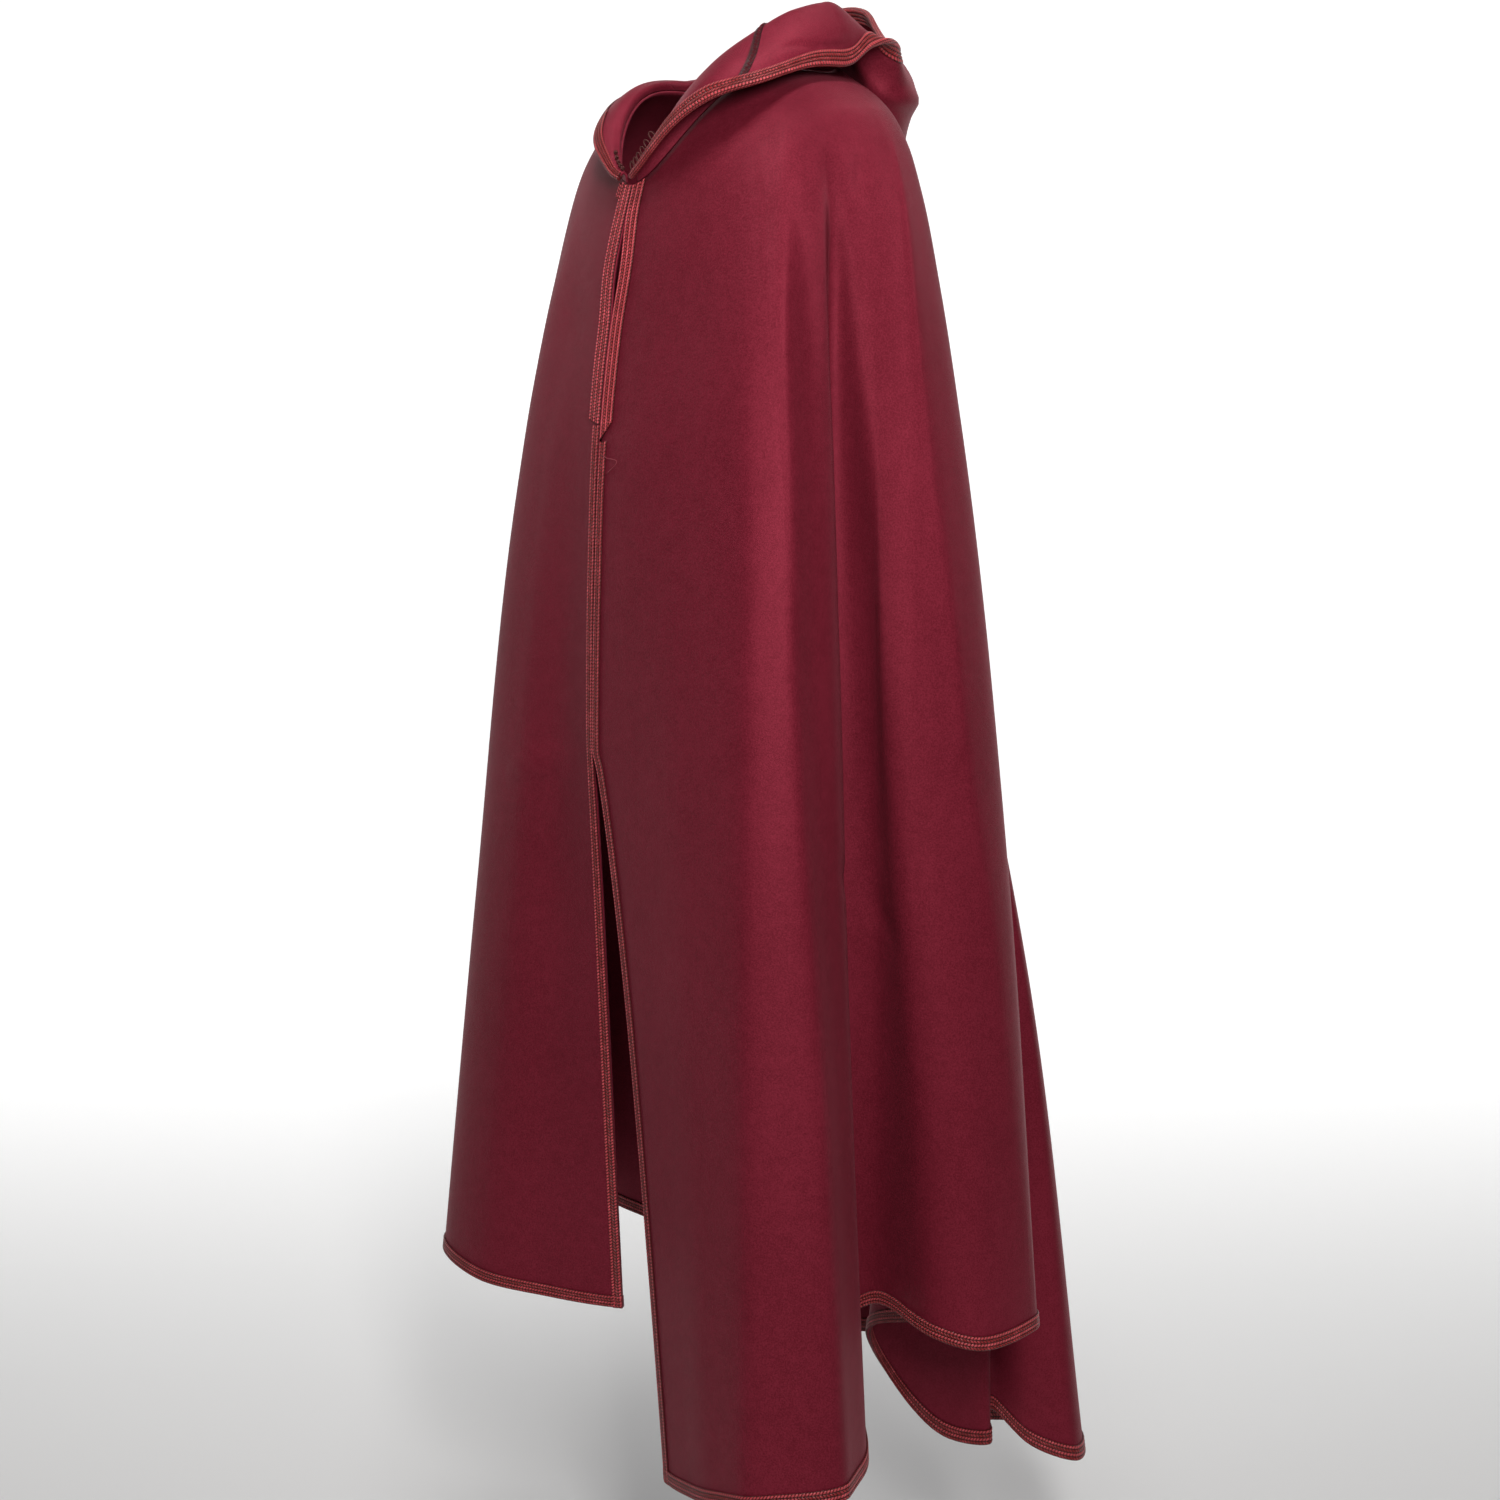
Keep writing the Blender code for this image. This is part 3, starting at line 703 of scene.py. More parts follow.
@dataclass(frozen=True)
class Crease:
    """A soft trough, or a ridge, pressed into the cloth along a line of points."""

    line: tuple[Place, ...]
    depth: float  # below 0 it stands out
    width: float

    def lift(self, points: Array) -> Array:
        """How far it moves each point along the cloth's normal.

        Args:
            points: The cloth's points.

        Returns:
            A distance for each, in metres.
        """
        line = np.array(self.line)
        reached = lengths_along(line)
        best = np.full(points.shape[:-1], np.inf)
        place = np.zeros(points.shape[:-1])
        for start, step, before in zip(line, np.diff(line, axis=0), reached):
            length = np.linalg.norm(step)
            share = np.clip(((points - start) @ step) / length**2, 0, 1)
            away = np.linalg.norm(points - start - share[..., None] * step, axis=-1)
            place = np.where(away < best, (before + share * length) / reached[-1], place)
            best = np.minimum(best, away)
        fade = np.sin(math.pi * np.clip(place, 0.0, 1.0)) ** 0.7  # to nothing at both ends
        return -self.depth * fade * np.exp(-((best / self.width) ** 2))


@dataclass(frozen=True)
class Ridge:
    """A soft ridge, or a trough, that runs down the cloth from the shoulders."""

    path: tuple[Pair, ...]  # a run, and how far across the cloth the ridge is there
    rise: tuple[Pair, ...]  # a run, and how far it stands out there
    right: float  # how far it spreads across the cloth, on either side
    left: float
    crest: float = 0.003

    def lift(self, run: Array, across: Array) -> Array:
        """How far it moves the cloth outward.

        Args:
            run: Places down the cloth.
            across: Places across it.

        Returns:
            A distance for each, in metres.
        """
        away = across - spline(*zip(*self.path), np.clip(run, self.path[0][0], 1.0))
        spread = np.where(away < 0, self.right, self.left)
        away = np.sqrt(away**2 + self.crest**2) - self.crest
        rise = spline(*zip(*self.rise), np.clip(run, self.rise[0][0], 1.0))
        return rise * np.exp(-((away / spread) ** 1.3))


RIDGES = (
    # the crest beside the left front edge
    Ridge(
        ((0.03, 0.8725), (0.11, 0.883), (0.17, 0.886), (0.27, 0.89), (0.37, 0.892), (0.51, 0.8955),
         (0.65, 0.895), (0.8, 0.895), (1, 0.895)),
        ((0.07, 0), (0.12, 0.008), (0.18, 0.022), (0.27, 0.029), (0.37, 0.033), (0.65, 0.037),
         (1, 0.034)),
        right=0.008, left=0.048, crest=0.0022,
    ),
    # the crisp line on the panel in front of it
    Ridge(
        ((0.17, 0.904), (0.27, 0.9075), (0.37, 0.908), (0.5, 0.9125), (0.65, 0.918), (0.8, 0.9215),
         (1, 0.927)),
        ((0.12, 0), (0.2, 0.003), (0.37, 0.0065), (0.65, 0.009), (1, 0.01)),
        right=0.022, left=0.011, crest=0.0007,
    ),
    # the hollow behind it
    Ridge(
        ((0.03, 0.856), (0.11, 0.842), (0.17, 0.833), (0.27, 0.83), (0.37, 0.829), (0.65, 0.829),
         (1, 0.83)),
        ((0.1, 0), (0.14, -0.009), (0.19, -0.022), (0.27, -0.03), (0.37, -0.03), (0.51, -0.02),
         (0.65, -0.01), (1, -0.004)),
        right=0.016, left=0.011, crest=0.0006,
    ),
    # the crest over the left side
    Ridge(
        ((0.03, 0.83), (0.11, 0.829), (0.17, 0.824), (0.27, 0.818), (0.37, 0.808), (0.51, 0.8),
         (0.65, 0.793), (0.8, 0.787), (1, 0.784)),
        ((0.07, 0), (0.12, 0.006), (0.18, 0.015), (0.27, 0.02), (0.37, 0.022), (0.51, 0.02),
         (0.8, 0.013), (1, 0.01)),
        right=0.03, left=0.0115, crest=0.0024,
    ),
    # the pleat at the left side
    Ridge(
        ((0.09, 0.774), (0.21, 0.7775), (0.33, 0.775), (0.43, 0.766), (0.53, 0.762), (0.65, 0.755),
         (0.83, 0.749), (1, 0.74)),
        ((0.09, 0), (0.15, 0.003), (0.33, 0.004), (0.65, 0.0042), (1, 0.0036)),
        right=0.012, left=0.0055, crest=0.0008,
    ),
)
CLOAK_CREASES = (
    # low on the left side
    Crease(
        ((0.248, -0.1106, -0.7329), (0.2209, -0.0576, -0.7647), (0.1966, 0.0053, -0.8036),
         (0.2258, 0.0034, -0.8322), (0.2448, 0.0026, -0.8495)),
        depth=0.0035, width=0.01,
    ),
    # at the left shoulder
    Crease(
        ((0.209, -0.0341, -0.0835), (0.212, -0.0344, -0.1084), (0.2127, -0.0376, -0.1303)),
        depth=0.0045, width=0.007,
    ),
    # across the right front
    Crease(
        ((-0.1432, -0.2064, -0.6872), (-0.096, -0.1995, -0.6759), (-0.0359, -0.1905, -0.6624)),
        depth=-0.0034, width=0.009,
    ),
)
HOOD_CREASES = (
    # where the hood folds over into its bag
    Crease(
        ((0.0918, 0.0722, -0.0058), (0.0988, 0.0822, -0.0117), (0.0996, 0.0994, -0.0158),
         (0.087, 0.1346, -0.0159), (0.07, 0.162, -0.016)),
        depth=0.008, width=0.01,
    ),
    # along the hood's left side
    Crease(
        ((0.134, -0.076, 0.012), (0.1389, -0.0509, 0.0144), (0.1429, -0.0201, 0.0143),
         (0.1383, 0.0148, 0.0189)),
        depth=0.0022, width=0.0045,
    ),
)


@dataclass(frozen=True)
class CloakForm:
    """The one big cut of cloth, from the neck seam to the hem."""

    yoke_run: float = 0.075  # above this run there are no folds
    neckline: float = 3.0  # how sharply the neckline dips at the front and the back
    front_gap: float = 0.0012  # from the middle to each front edge
    slit_gap: float = 0.004  # how much more that is in the middle of the neck slit
    slit_runs: Pair = (0.015, 0.11)
    edge_reach: float = 0.03  # how far across the cloth the gaps push it
    columns: int = 400
    fine_columns: int = 2400
    edge_rows: int = 5  # rows of braid's width that columns stand at, along each front edge
    upper_run: float = 0.2  # down to here the grid's rows are closer
    upper_rows: int = 36
    lower_rows: int = 74  # from there to the hem's braid
    hem_rows: int = 4
    hem_place: Pair = (0.25, 0.92)  # across and down, where the length to the hem is measured from

    def ring_point(self, angle: Array, run: Array) -> Array:
        """Points on the plain form.

        Args:
            angle: Angles round the neck, in degrees.
            run: Places down the cloth, from 0 to 1.

        Returns:
            The points.
        """
        table = np.array(RINGS)
        sizes = spline(table[:, 0], table[:, 1:], run)
        side, front, back, side_z, front_z, back_z = np.moveaxis(sizes, -1, 0)
        turn = np.radians(angle)
        across, along = np.sin(turn), np.cos(turn)
        z = side_z + (np.where(along < 0, front_z, back_z) - side_z) * np.abs(along) ** self.neckline
        return np.stack([side * across, np.where(along < 0, front, back) * along, z], axis=-1)

    def point(self, across: Array, run: Array) -> Array:
        """Points on the outside of the cloth.

        Args:
            across: Places across it, from the right front edge (0) to the left one (1).
            run: Places down it, from the neck (0) to the hem (1).

        Returns:
            The points.
        """
        across, run = np.broadcast_arrays(np.asarray(across, float), np.asarray(run, float))
        table = np.array(FOLDS)
        hem = lengths_along(table[:, 1:4])
        places = (hem / hem[-1] + (table[:, 0] - table[0, 0]) / (table[-1, 0] - table[0, 0])) / 2
        angle = spline(places, table[:, 0], across)
        shift = table[:, 1:4] - self.ring_point(table[:, 0], np.ones(len(FOLDS)))
        share = np.clip((run - self.yoke_run) / (1 - self.yoke_run), 0, 1)[..., None]
        opened = np.clip((share - table[:, 4]) / (1 - table[:, 4]), 0, 1) ** table[:, 5]
        blend = spline(places, np.eye(len(FOLDS)), across)
        plan = np.einsum("...k,...k,kj->...j", blend, opened, shift[:, :2])
        drop = np.einsum("...k,...k,k->...", blend, np.broadcast_to(share, opened.shape), shift[:, 2])
        point = self.ring_point(angle, run) + np.concatenate([plan, drop[..., None]], axis=-1)
        begin, end = self.slit_runs
        in_slit = np.clip((run - begin) / (end - begin), 0, 1)
        gap = self.front_gap + self.slit_gap * np.sin(math.pi * in_slit) ** 2
        right, left = (np.exp(-away / self.edge_reach) for away in (across, 1 - across))
        point[..., 0] += gap * (left - right)
        return point

    def runs(self) -> Array:
        """Places down the cloth of the grid's rows: close at the top, and a braid's row apart at the hem."""
        across, down = self.hem_place
        length = np.linalg.norm(self.point(across, 1.0) - self.point(across, down)) / (1 - down)
        hem = 1 - np.arange(self.hem_rows, -1, -1) * ROW / length
        upper = np.linspace(0, self.upper_run, self.upper_rows)
        return np.concatenate([upper, np.linspace(upper[-1], hem[0], self.lower_rows)[1:], hem[1:]])

    def grid(self) -> tuple[Array, Array]:
        """The outside of the cloth as it hangs, with its creases.

        Returns:
            The points, a row for each run and a column across, and the runs.
        """
        runs = self.runs()
        fine = np.linspace(0, 1, self.fine_columns + 1)
        lines = self.point(fine[None, :], runs[:, None])
        bands = np.arange(self.edge_rows + 1) * ROW
        grid = np.empty((len(runs), self.columns + 1, 3))
        for row, line in enumerate(lines):
            reached = lengths_along(line)
            begin = np.interp(bands, reached, fine)
            end = np.interp(reached[-1] - bands[::-1], reached, fine)
            middle = np.linspace(begin[-1], end[0], self.columns - 2 * len(bands) + 3)
            across = np.concatenate([begin, middle[1:-1], end])
            grid[row] = sampled(line, fine, across)
        shares = np.arange(self.columns + 1) / self.columns
        grid = lifted(grid, sum(ridge.lift(runs[:, None], shares[None, :]) for ridge in RIDGES))
        return lifted(grid, sum(crease.lift(grid) for crease in CLOAK_CREASES)), runs


@dataclass(frozen=True)
class HoodForm:
    """The hood, thrown back: rolled outward at the sides, and a bag behind the neck."""

    cloak: CloakForm
    columns: int = 360
    strip_ends: tuple[int, int] = (65, 295)  # columns at which a strip down each front end is sewn on
    strip_slant: float = 13.0  # degrees that the strips' seams lean over, from the middle to each end
    strip_ease: float = 28.0  # degrees from those seams to where nothing leans
    steps: int = 60
    band_rows: int = 4
    band_share: float = 0.3  # the most of a section that the braid may take
    fine_steps: int = 220
    piece_gap: float = 0.0003  # air between two pieces that are sewn edge to edge

    def point(self, across: Array, down: Array) -> Array:
        """Points on the side that the rolled hood shows.

        Args:
            across: Places along it, from the right front end (0) to the left one (1).
            down: Places on the section, from the seam (0) to the rim (1).

        Returns:
            The points.
        """
        across, down = np.broadcast_arrays(np.asarray(across, float), np.asarray(down, float))
        table = np.array(PROFILES)
        angle = table[0, 0] + (table[-1, 0] - table[0, 0]) * across
        offsets = np.zeros((len(PROFILES), len(PROFILE_KNOTS), 2))
        offsets[:, 1:] = table[:, 1:].reshape(len(PROFILES), -1, 2) / 1000
        by_angle = spline(table[:, 0], np.eye(len(PROFILES)), angle)
        by_down = spline(np.array(PROFILE_KNOTS), np.eye(len(PROFILE_KNOTS)), down)
        out_up = np.einsum("...a,...d,adj->...j", by_angle, by_down, offsets)
        turn = np.radians(angle)
        point = self.cloak.ring_point(angle, np.zeros_like(angle))
        point += np.stack([np.sin(turn), np.cos(turn), np.zeros_like(turn)], axis=-1) * out_up[..., :1]
        point[..., 2] += out_up[..., 1] + SEAM + CLOTH * np.clip(np.cos(turn), 0, 1)
        return point

    def lean(self, across: Array) -> Array:
        """How far the columns lean over from seam to rim, as a share of the hood's length."""
        span = PROFILES[-1].angle - PROFILES[0].angle
        lean = np.zeros_like(across)
        for column, way in zip(self.strip_ends, (-1, 1)):
            away = np.abs(across - column / self.columns) * span / self.strip_ease
            lean += way * self.strip_slant / span * np.clip(1 - away, 0, 1) ** 2 * (1 + 2 * away)
        return lean

    def grid(self) -> Array:
        """The hood's points: even steps down each section, and the last ones a braid's row apart.

        Returns:
            The points, a row for each step and a column along the hood.
        """
        across = np.linspace(0, 1, self.columns + 1)
        down = np.linspace(0, 1, self.fine_steps + 1)
        fine = self.point(across[:, None] + self.lean(across)[:, None] * (2 * down - 1), down[None, :])
        grid = np.empty((self.steps + self.band_rows + 1, self.columns + 1, 3))
        for column, line in enumerate(fine):
            reached = lengths_along(line)
            band = min(self.band_rows * ROW, self.band_share * reached[-1])
            upper = np.linspace(0, reached[-1] - band, self.steps + 1)
            lower = np.linspace(upper[-1], reached[-1], self.band_rows + 1)
            grid[:, column] = sampled(line, reached, np.concatenate([upper, lower[1:]]))
        return lifted(grid, sum(crease.lift(grid) for crease in HOOD_CREASES))


# ---------------------------------------------------------------------------------------------------
# Meshes
# ---------------------------------------------------------------------------------------------------


def make_object(name: str, points: Array, faces: Array, finish: Material) -> Piece:
    """A smooth mesh object.

    Args:
        name: Its name.
        points: Its points.
        faces: The four corners of each face.
        finish: Its material.

    Returns:
        The object, linked to the scene.
    """
    mesh = bpy.data.meshes.new(name)
    mesh.vertices.add(len(points))
    mesh.vertices.foreach_set("co", np.ascontiguousarray(points, dtype=np.float32).ravel())
    mesh.loops.add(faces.size)
    mesh.loops.foreach_set("vertex_index", np.ascontiguousarray(faces, dtype=np.int32).ravel())
    mesh.polygons.add(len(faces))
    mesh.polygons.foreach_set("loop_start", np.arange(0, faces.size, 4, dtype=np.int32))
    mesh.update(calc_edges=True)
    mesh.validate()
    mesh.shade_smooth()
    mesh.materials.append(finish)
    made = bpy.data.objects.new(name, mesh)
    bpy.context.scene.collection.objects.link(made)
    return made


def paint_uv(made: Piece, name: str, places: Array) -> None:
    """Give a mesh a UV map.

    Args:
        made: The object.
        name: The map's name.
        places: The u and v of each of its points.
    """
    corners = np.empty(len(made.data.loops), dtype=np.int32)
    made.data.loops.foreach_get("vertex_index", corners)
    layer = made.data.uv_layers.new(name=name)
    layer.data.foreach_set("uv", np.ascontiguousarray(places[corners], dtype=np.float32).ravel())


def grid_faces(rows: int, columns: int, closed: bool = False) -> Array:
    """The faces of a grid of points.

    Args:
        rows: Points down it.
        columns: Points across it.
        closed: Whether its last column meets its first.

    Returns:
        Four corners for each face.
    """
    row = np.arange(rows - 1)[:, None] * columns
    column = np.arange(columns if closed else columns - 1)[None, :]
    beside = (column + 1) % columns
    corners = [row + column, row + columns + column, row + columns + beside, row + beside]
    return np.stack(corners, axis=-1).reshape(-1, 4)


def end_faces(around: int) -> Array:
    """The faces that close the first end of a tube, from how many points there are round it."""
    low = np.arange((around - 2) // 2)[:, None]
    return np.hstack([low, low + 1, around - 2 - low, around - 1 - low])


def paired(first: Array, second: Array) -> Array:
    """Pairs for a grid of points, from a number for each row and a number for each column."""
    return np.stack(np.broadcast_arrays(first[:, None], second[None, :]), axis=-1).reshape(-1, 2)


def paint_tone(made: Piece, name: str, tones: Array) -> None:
    """Give each point of a mesh a number that its finish can read."""
    layer = made.data.attributes.new(name, "FLOAT", "POINT")
    layer.data.foreach_set("value", np.asarray(tones, dtype=np.float32))


def cloth_wall(name: str, outer: Array, inner: Array, finish: Material) -> Piece:
    """A closed wall of cloth between two grids of points that match.

    Args:
        name: The piece's name.
        outer: The side that the normals leave.
        inner: The other side.
        finish: Its material.

    Returns:
        The object, with the UV map that the weave follows, in metres.
    """
    rows, columns = outer.shape[:2]
    count = rows * columns
    front = grid_faces(rows, columns)
    back = front[:, ::-1] + count
    numbers = np.arange(count).reshape(rows, columns)
    edges = (numbers[:-1, 0], numbers[-1, :-1], numbers[:0:-1, -1], numbers[0, :0:-1])
    ring = np.concatenate(edges)
    following = np.roll(ring, -1)
    rim = np.stack([following, ring, ring + count, following + count], axis=-1)
    points = np.concatenate([outer.reshape(-1, 3), inner.reshape(-1, 3)])
    made = make_object(name, points, np.concatenate([front, back, rim]), finish)
    steps = np.linalg.norm(np.diff(outer, axis=0), axis=-1).mean(axis=1)
    down = np.concatenate([[0.0], np.cumsum(steps)])
    weave = paired(down, lengths_along(outer[-1]))[:, ::-1]
    paint_uv(made, "weave", np.concatenate([weave, weave]))
    return made


def dress(made: Piece, slot: str, *nodes: str) -> Piece:
    """Put a finished piece in a solid's place.

    Args:
        made: The piece.
        slot: Not used.
        *nodes: The solids that it stands for.

    Returns:
        The piece.
    """
    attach(made, "root")
    if nodes:
        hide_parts(*nodes)
    LOG.info("%s: %d faces", made.name, len(made.data.polygons))
    return made


@dataclass(frozen=True)
class Braid:
    """A band of rows of cord, stitched side by side onto cloth."""

    name: str
    under: float = AIR
    base: float = 0.0008  # the band's thickness between two rows
    rib: float = 0.0010  # how much a row stands up from that
    stitch: float = 0.0033  # from one stitch to the next
    samples: int = 4  # points to a stitch
    slant: float = 0.75  # how far a stitch leans along its row, as a share of its length
    swell: float = 0.18  # how much of a row's height comes and goes with each stitch
    # pale rows get more of the finish's painted shine on their crests: partly paler thread, partly painted
    # highlight
    pale_rows: tuple[int, ...] = ()
    paleness: float = 0.5  # of those rows
    plain: float = 0.06  # the paleness of the others
    cuts: tuple[float, ...] = (0.0, 0.14, 0.5, 0.86)  # where points stand across a row

    def build(self, lines: Array, normals: Array, finish: Material, ribs: Array | None = None) -> Piece:
        """Make the band.

        Args:
            lines: The cloth's points under the lines between the rows, all with as many points.
            normals: The cloth's normals there.
            finish: Its material.
            ribs: For each row, how far it stands up: 1 is a full row, as all are if this is left out.

        Returns:
            The band.
        """
        ribs = np.ones(len(lines) - 1) if ribs is None else ribs
        reached = lengths_along(lines[len(lines) // 2])
        wanted = np.linspace(0, reached[-1], int(reached[-1] / self.stitch * self.samples) + 1)
        place = np.interp(wanted, reached, np.arange(len(reached)))
        lines = rows_at(lines.swapaxes(0, 1), place).swapaxes(0, 1)
        normals = unit(rows_at(normals.swapaxes(0, 1), place).swapaxes(0, 1))
        turns = wanted / self.stitch
        points, rows_of, pale = [], [], []
        for row, rib in enumerate(ribs):
            turned = 1 if row % 2 else -1
            for cut in self.cuts:
                height = math.sqrt(1 - (2 * cut - 1) ** 2)
                phase = turns + (cut - 0.5) * turned * self.slant
                wave = 1 + self.swell * (np.sin(math.tau * phase) - 1)
                up = self.under + self.base + self.rib * rib * height * wave
                line = lines[row] * (1 - cut) + lines[row + 1] * cut
                normal = unit(normals[row] * (1 - cut) + normals[row + 1] * cut)
                points.append(line + normal * up[:, None])
                rows_of.append(row + cut)
                pale.append(self.paleness if row in self.pale_rows else self.plain)
        points.append(lines[-1] + normals[-1] * (self.under + self.base))
        points.extend((lines + normals * self.under)[::-1])
        rows_of.extend([len(ribs), *range(len(ribs), -1, -1)])
        pale.extend([pale[-1], *[0.0] * len(lines)])
        ring = np.stack(points, axis=1)
        count, around = ring.shape[:2]
        ends = end_faces(around)
        faces = [grid_faces(count, around, closed=True), ends, ends[:, ::-1] + (count - 1) * around]
        made = make_object(self.name, ring.reshape(-1, 3), np.concatenate(faces), finish)
        paint_uv(made, "stitches", paired(turns, np.array(rows_of)))
        paint_tone(made, "pale", np.tile(pale, count))
        return made


@dataclass(frozen=True)
class Cord:
    """A round cord."""

    name: str
    radius: float
    sides: int = 10
    end_share: float = 0.35  # of the radius, at a loose end

    def build(self, path: Array, finish: Material, closed: bool = False) -> Piece:
        """Make the cord along a path.

        Args:
            path: The points of its middle.
            finish: Its material.
            closed: Whether its end meets its start.

        Returns:
            The cord, with the UV map that its twist follows, in metres along and turns round.
        """
        count = len(path)
        ahead = np.gradient(path, axis=0)
        if closed:
            ahead = np.roll(path, -1, axis=0) - np.roll(path, 1, axis=0)
        ahead = unit(ahead)
        out = np.empty_like(path)
        side = np.cross(ahead[0], OBLIQUE)
        for step, way in enumerate(ahead):
            side = unit(side - way * (side @ way))
            out[step] = side
        up = np.cross(ahead, out)
        turn = np.arange(self.sides) * math.tau / self.sides
        size = np.full(count, self.radius)
        if not closed:
            size[[0, -1]] *= self.end_share
        around = np.cos(turn)[:, None] * out[:, None] + np.sin(turn)[:, None] * up[:, None]
        points = (path[:, None] + size[:, None, None] * around).reshape(-1, 3)
        if closed:
            faces = grid_faces(count + 1, self.sides, closed=True) % len(points)
        else:
            ends = end_faces(self.sides)
            last = len(points) - self.sides
            faces = np.concatenate([grid_faces(count, self.sides, closed=True), ends[:, ::-1], ends + last])
        made = make_object(self.name, points, faces, finish)
        paint_uv(made, "twist", paired(lengths_along(path), turn / math.tau))
        return made


# ---------------------------------------------------------------------------------------------------
# The garment's parts
# ---------------------------------------------------------------------------------------------------


@dataclass
class Cloak:
    """The cloth that hangs from the shoulders, with the braid on its edges."""

    form: CloakForm
    wool: Material
    braid: Material
    steps: int = 500  # points on each line down a front
    placket_runs: Pair = (0.001, 0.185)  # where it starts and ends, down the cloth
    placket_rows: int = 5
    slants: Pair = (0.02, 0.075)  # how much shorter the row farthest from the slit is, right and left
    edge_runs: Pair = (0.186, 1.0)
    edge_rows: int = 3
    tab_runs: Pair = (0.004, 0.014)
    tab_rows: int = 3
    loose_runs: Pair = (0.195, 0.211)
    loose_rows: int = 9  # the rows that the loose thread lies over
    loose_points: int = 40
    loose_curl: float = 0.8  # of a full swing, in from the outermost row and out again
    loose_lift: Pair = (0.0012, 0.0022)  # its height at its ends, and how much more it has between
    outer: Array = field(init=False)
    inner: Array = field(init=False)
    normals: Array = field(init=False)
    runs: Array = field(init=False)

    def __post_init__(self) -> None:
        """Work out the cloth's two faces."""
        self.outer, self.runs = self.form.grid()
        self.normals = normals_of(self.outer)
        self.inner = self.outer - self.normals * CLOTH

    def make_cloth(self) -> Piece:
        """Make the cloth.

        Returns:
            The piece.
        """
        made = cloth_wall("cloak_cloth", self.outer, self.inner, self.wool)
        return dress(made, "burgundy_wool", "cloak_body")

    def _front_lines(self, side: Side, rows: int, runs: Pair) -> tuple[Array, Array]:
        """Lines down the outside of one front edge, a braid's row apart.

        Args:
            side: Which edge.
            rows: How many rows lie between them.
            runs: The runs at the upper end and at the lower one.

        Returns:
            The lines, from the edge inward on the right and the other way on the left, and their normals.
        """
        place = np.interp(np.linspace(*runs, self.steps), self.runs, np.arange(len(self.runs)))
        columns = np.arange(rows + 1)
        if side is Side.LEFT:
            columns = self.outer.shape[1] - 1 - columns[::-1]
        points, normals = (rows_at(grid[:, columns], place) for grid in (self.outer, self.normals))
        return points.swapaxes(0, 1), unit(normals.swapaxes(0, 1))

    def make_placket(self, side: Side) -> Piece:
        """Make the braided band beside the neck slit.

        Args:
            side: Which front it lies on.

        Returns:
            The piece.
        """
        lines, normals = self._front_lines(side, self.placket_rows, self.placket_runs)
        shorter = np.linspace(0, self.slants[0], len(lines))
        if side is Side.LEFT:
            shorter = np.linspace(self.slants[1], 0, len(lines))
        for row, share in enumerate(shorter):
            lines[row] = rows_at(lines[row], np.linspace(0, (self.steps - 1) * (1 - share), self.steps))
        thick = {"base": 0.0010, "rib": 0.0012}
        band = Braid(f"placket_rows_{side.value}", **thick, pale_rows=(0, 2, 4), paleness=0.95, plain=0.22)
        return dress(band.build(lines, normals, self.braid), "satin_braid", f"placket_{side.value}")

    def make_edge(self, side: Side) -> Piece:
        """Make the trim down one front edge, under its placket.

        Args:
            side: Which front edge.

        Returns:
            The piece.
        """
        lines, normals = self._front_lines(side, self.edge_rows, self.edge_runs)
        band = Braid(f"edge_rows_{side.value}", pale_rows=(0, self.edge_rows - 1), paleness=0.60)
        return dress(band.build(lines, normals, self.braid), "satin_braid", f"edge_braid_{side.value}")

    def make_tab(self) -> Piece:
        """Make the end of braid that is folded over beside the top of the right placket.

        Returns:
            The piece.
        """
        lines, normals = self._front_lines(Side.RIGHT, self.placket_rows + self.tab_rows, self.tab_runs)
        rows = slice(self.placket_rows, None)
        thick = {"under": 0.0005, "base": 0.0014, "rib": 0.0012}
        band = Braid("placket_tab", **thick, pale_rows=(0, 2), paleness=1.0, plain=0.3)
        return dress(band.build(lines[rows], normals[rows], self.braid), "satin_braid", "placket_right")

    def make_loose_thread(self, thread: Material) -> Piece:
        """Make the loose end of thread that curls off the left edge, just below the placket.

        Args:
            thread: Its material.

        Returns:
            The piece.
        """
        lines, normals = self._front_lines(Side.LEFT, self.loose_rows, self.loose_runs)
        turn = np.linspace(0, 1, self.loose_points)
        place = np.linspace(0, self.steps - 1, self.loose_points).astype(int)
        outermost, innermost = self.loose_rows - 2, 1
        curl = 0.5 - 0.5 * np.cos(turn * math.tau * self.loose_curl)
        inward = outermost + (innermost - outermost) * curl
        low = inward.astype(int)
        part = (inward - low)[:, None]
        path = lines[low, place] * (1 - part) + lines[low + 1, place] * part
        ends, more = self.loose_lift
        path = path + normals[low, place] * (ends + more * np.sin(turn * math.pi)[:, None])
        made = Cord("loose_thread", radius=0.0003, sides=8).build(path, thread)
        return dress(made, "satin_braid", "edge_braid_left")

    def make_hem(self) -> list[Piece]:
        """Make the trim round the hem, on both faces of the cloth.

        Returns:
            The pieces.
        """
        rows = slice(-1 - self.form.hem_rows, None)
        pieces = []
        for face, grid, way in (("outside", self.outer, 1), ("inside", self.inner, -1)):
            band = Braid(f"hem_rows_{face}", samples=3, pale_rows=(0, 2))
            made = band.build(grid[rows], self.normals[rows] * way, self.braid)
            pieces.append(dress(made, "satin_braid", "hem_braid"))
        return pieces


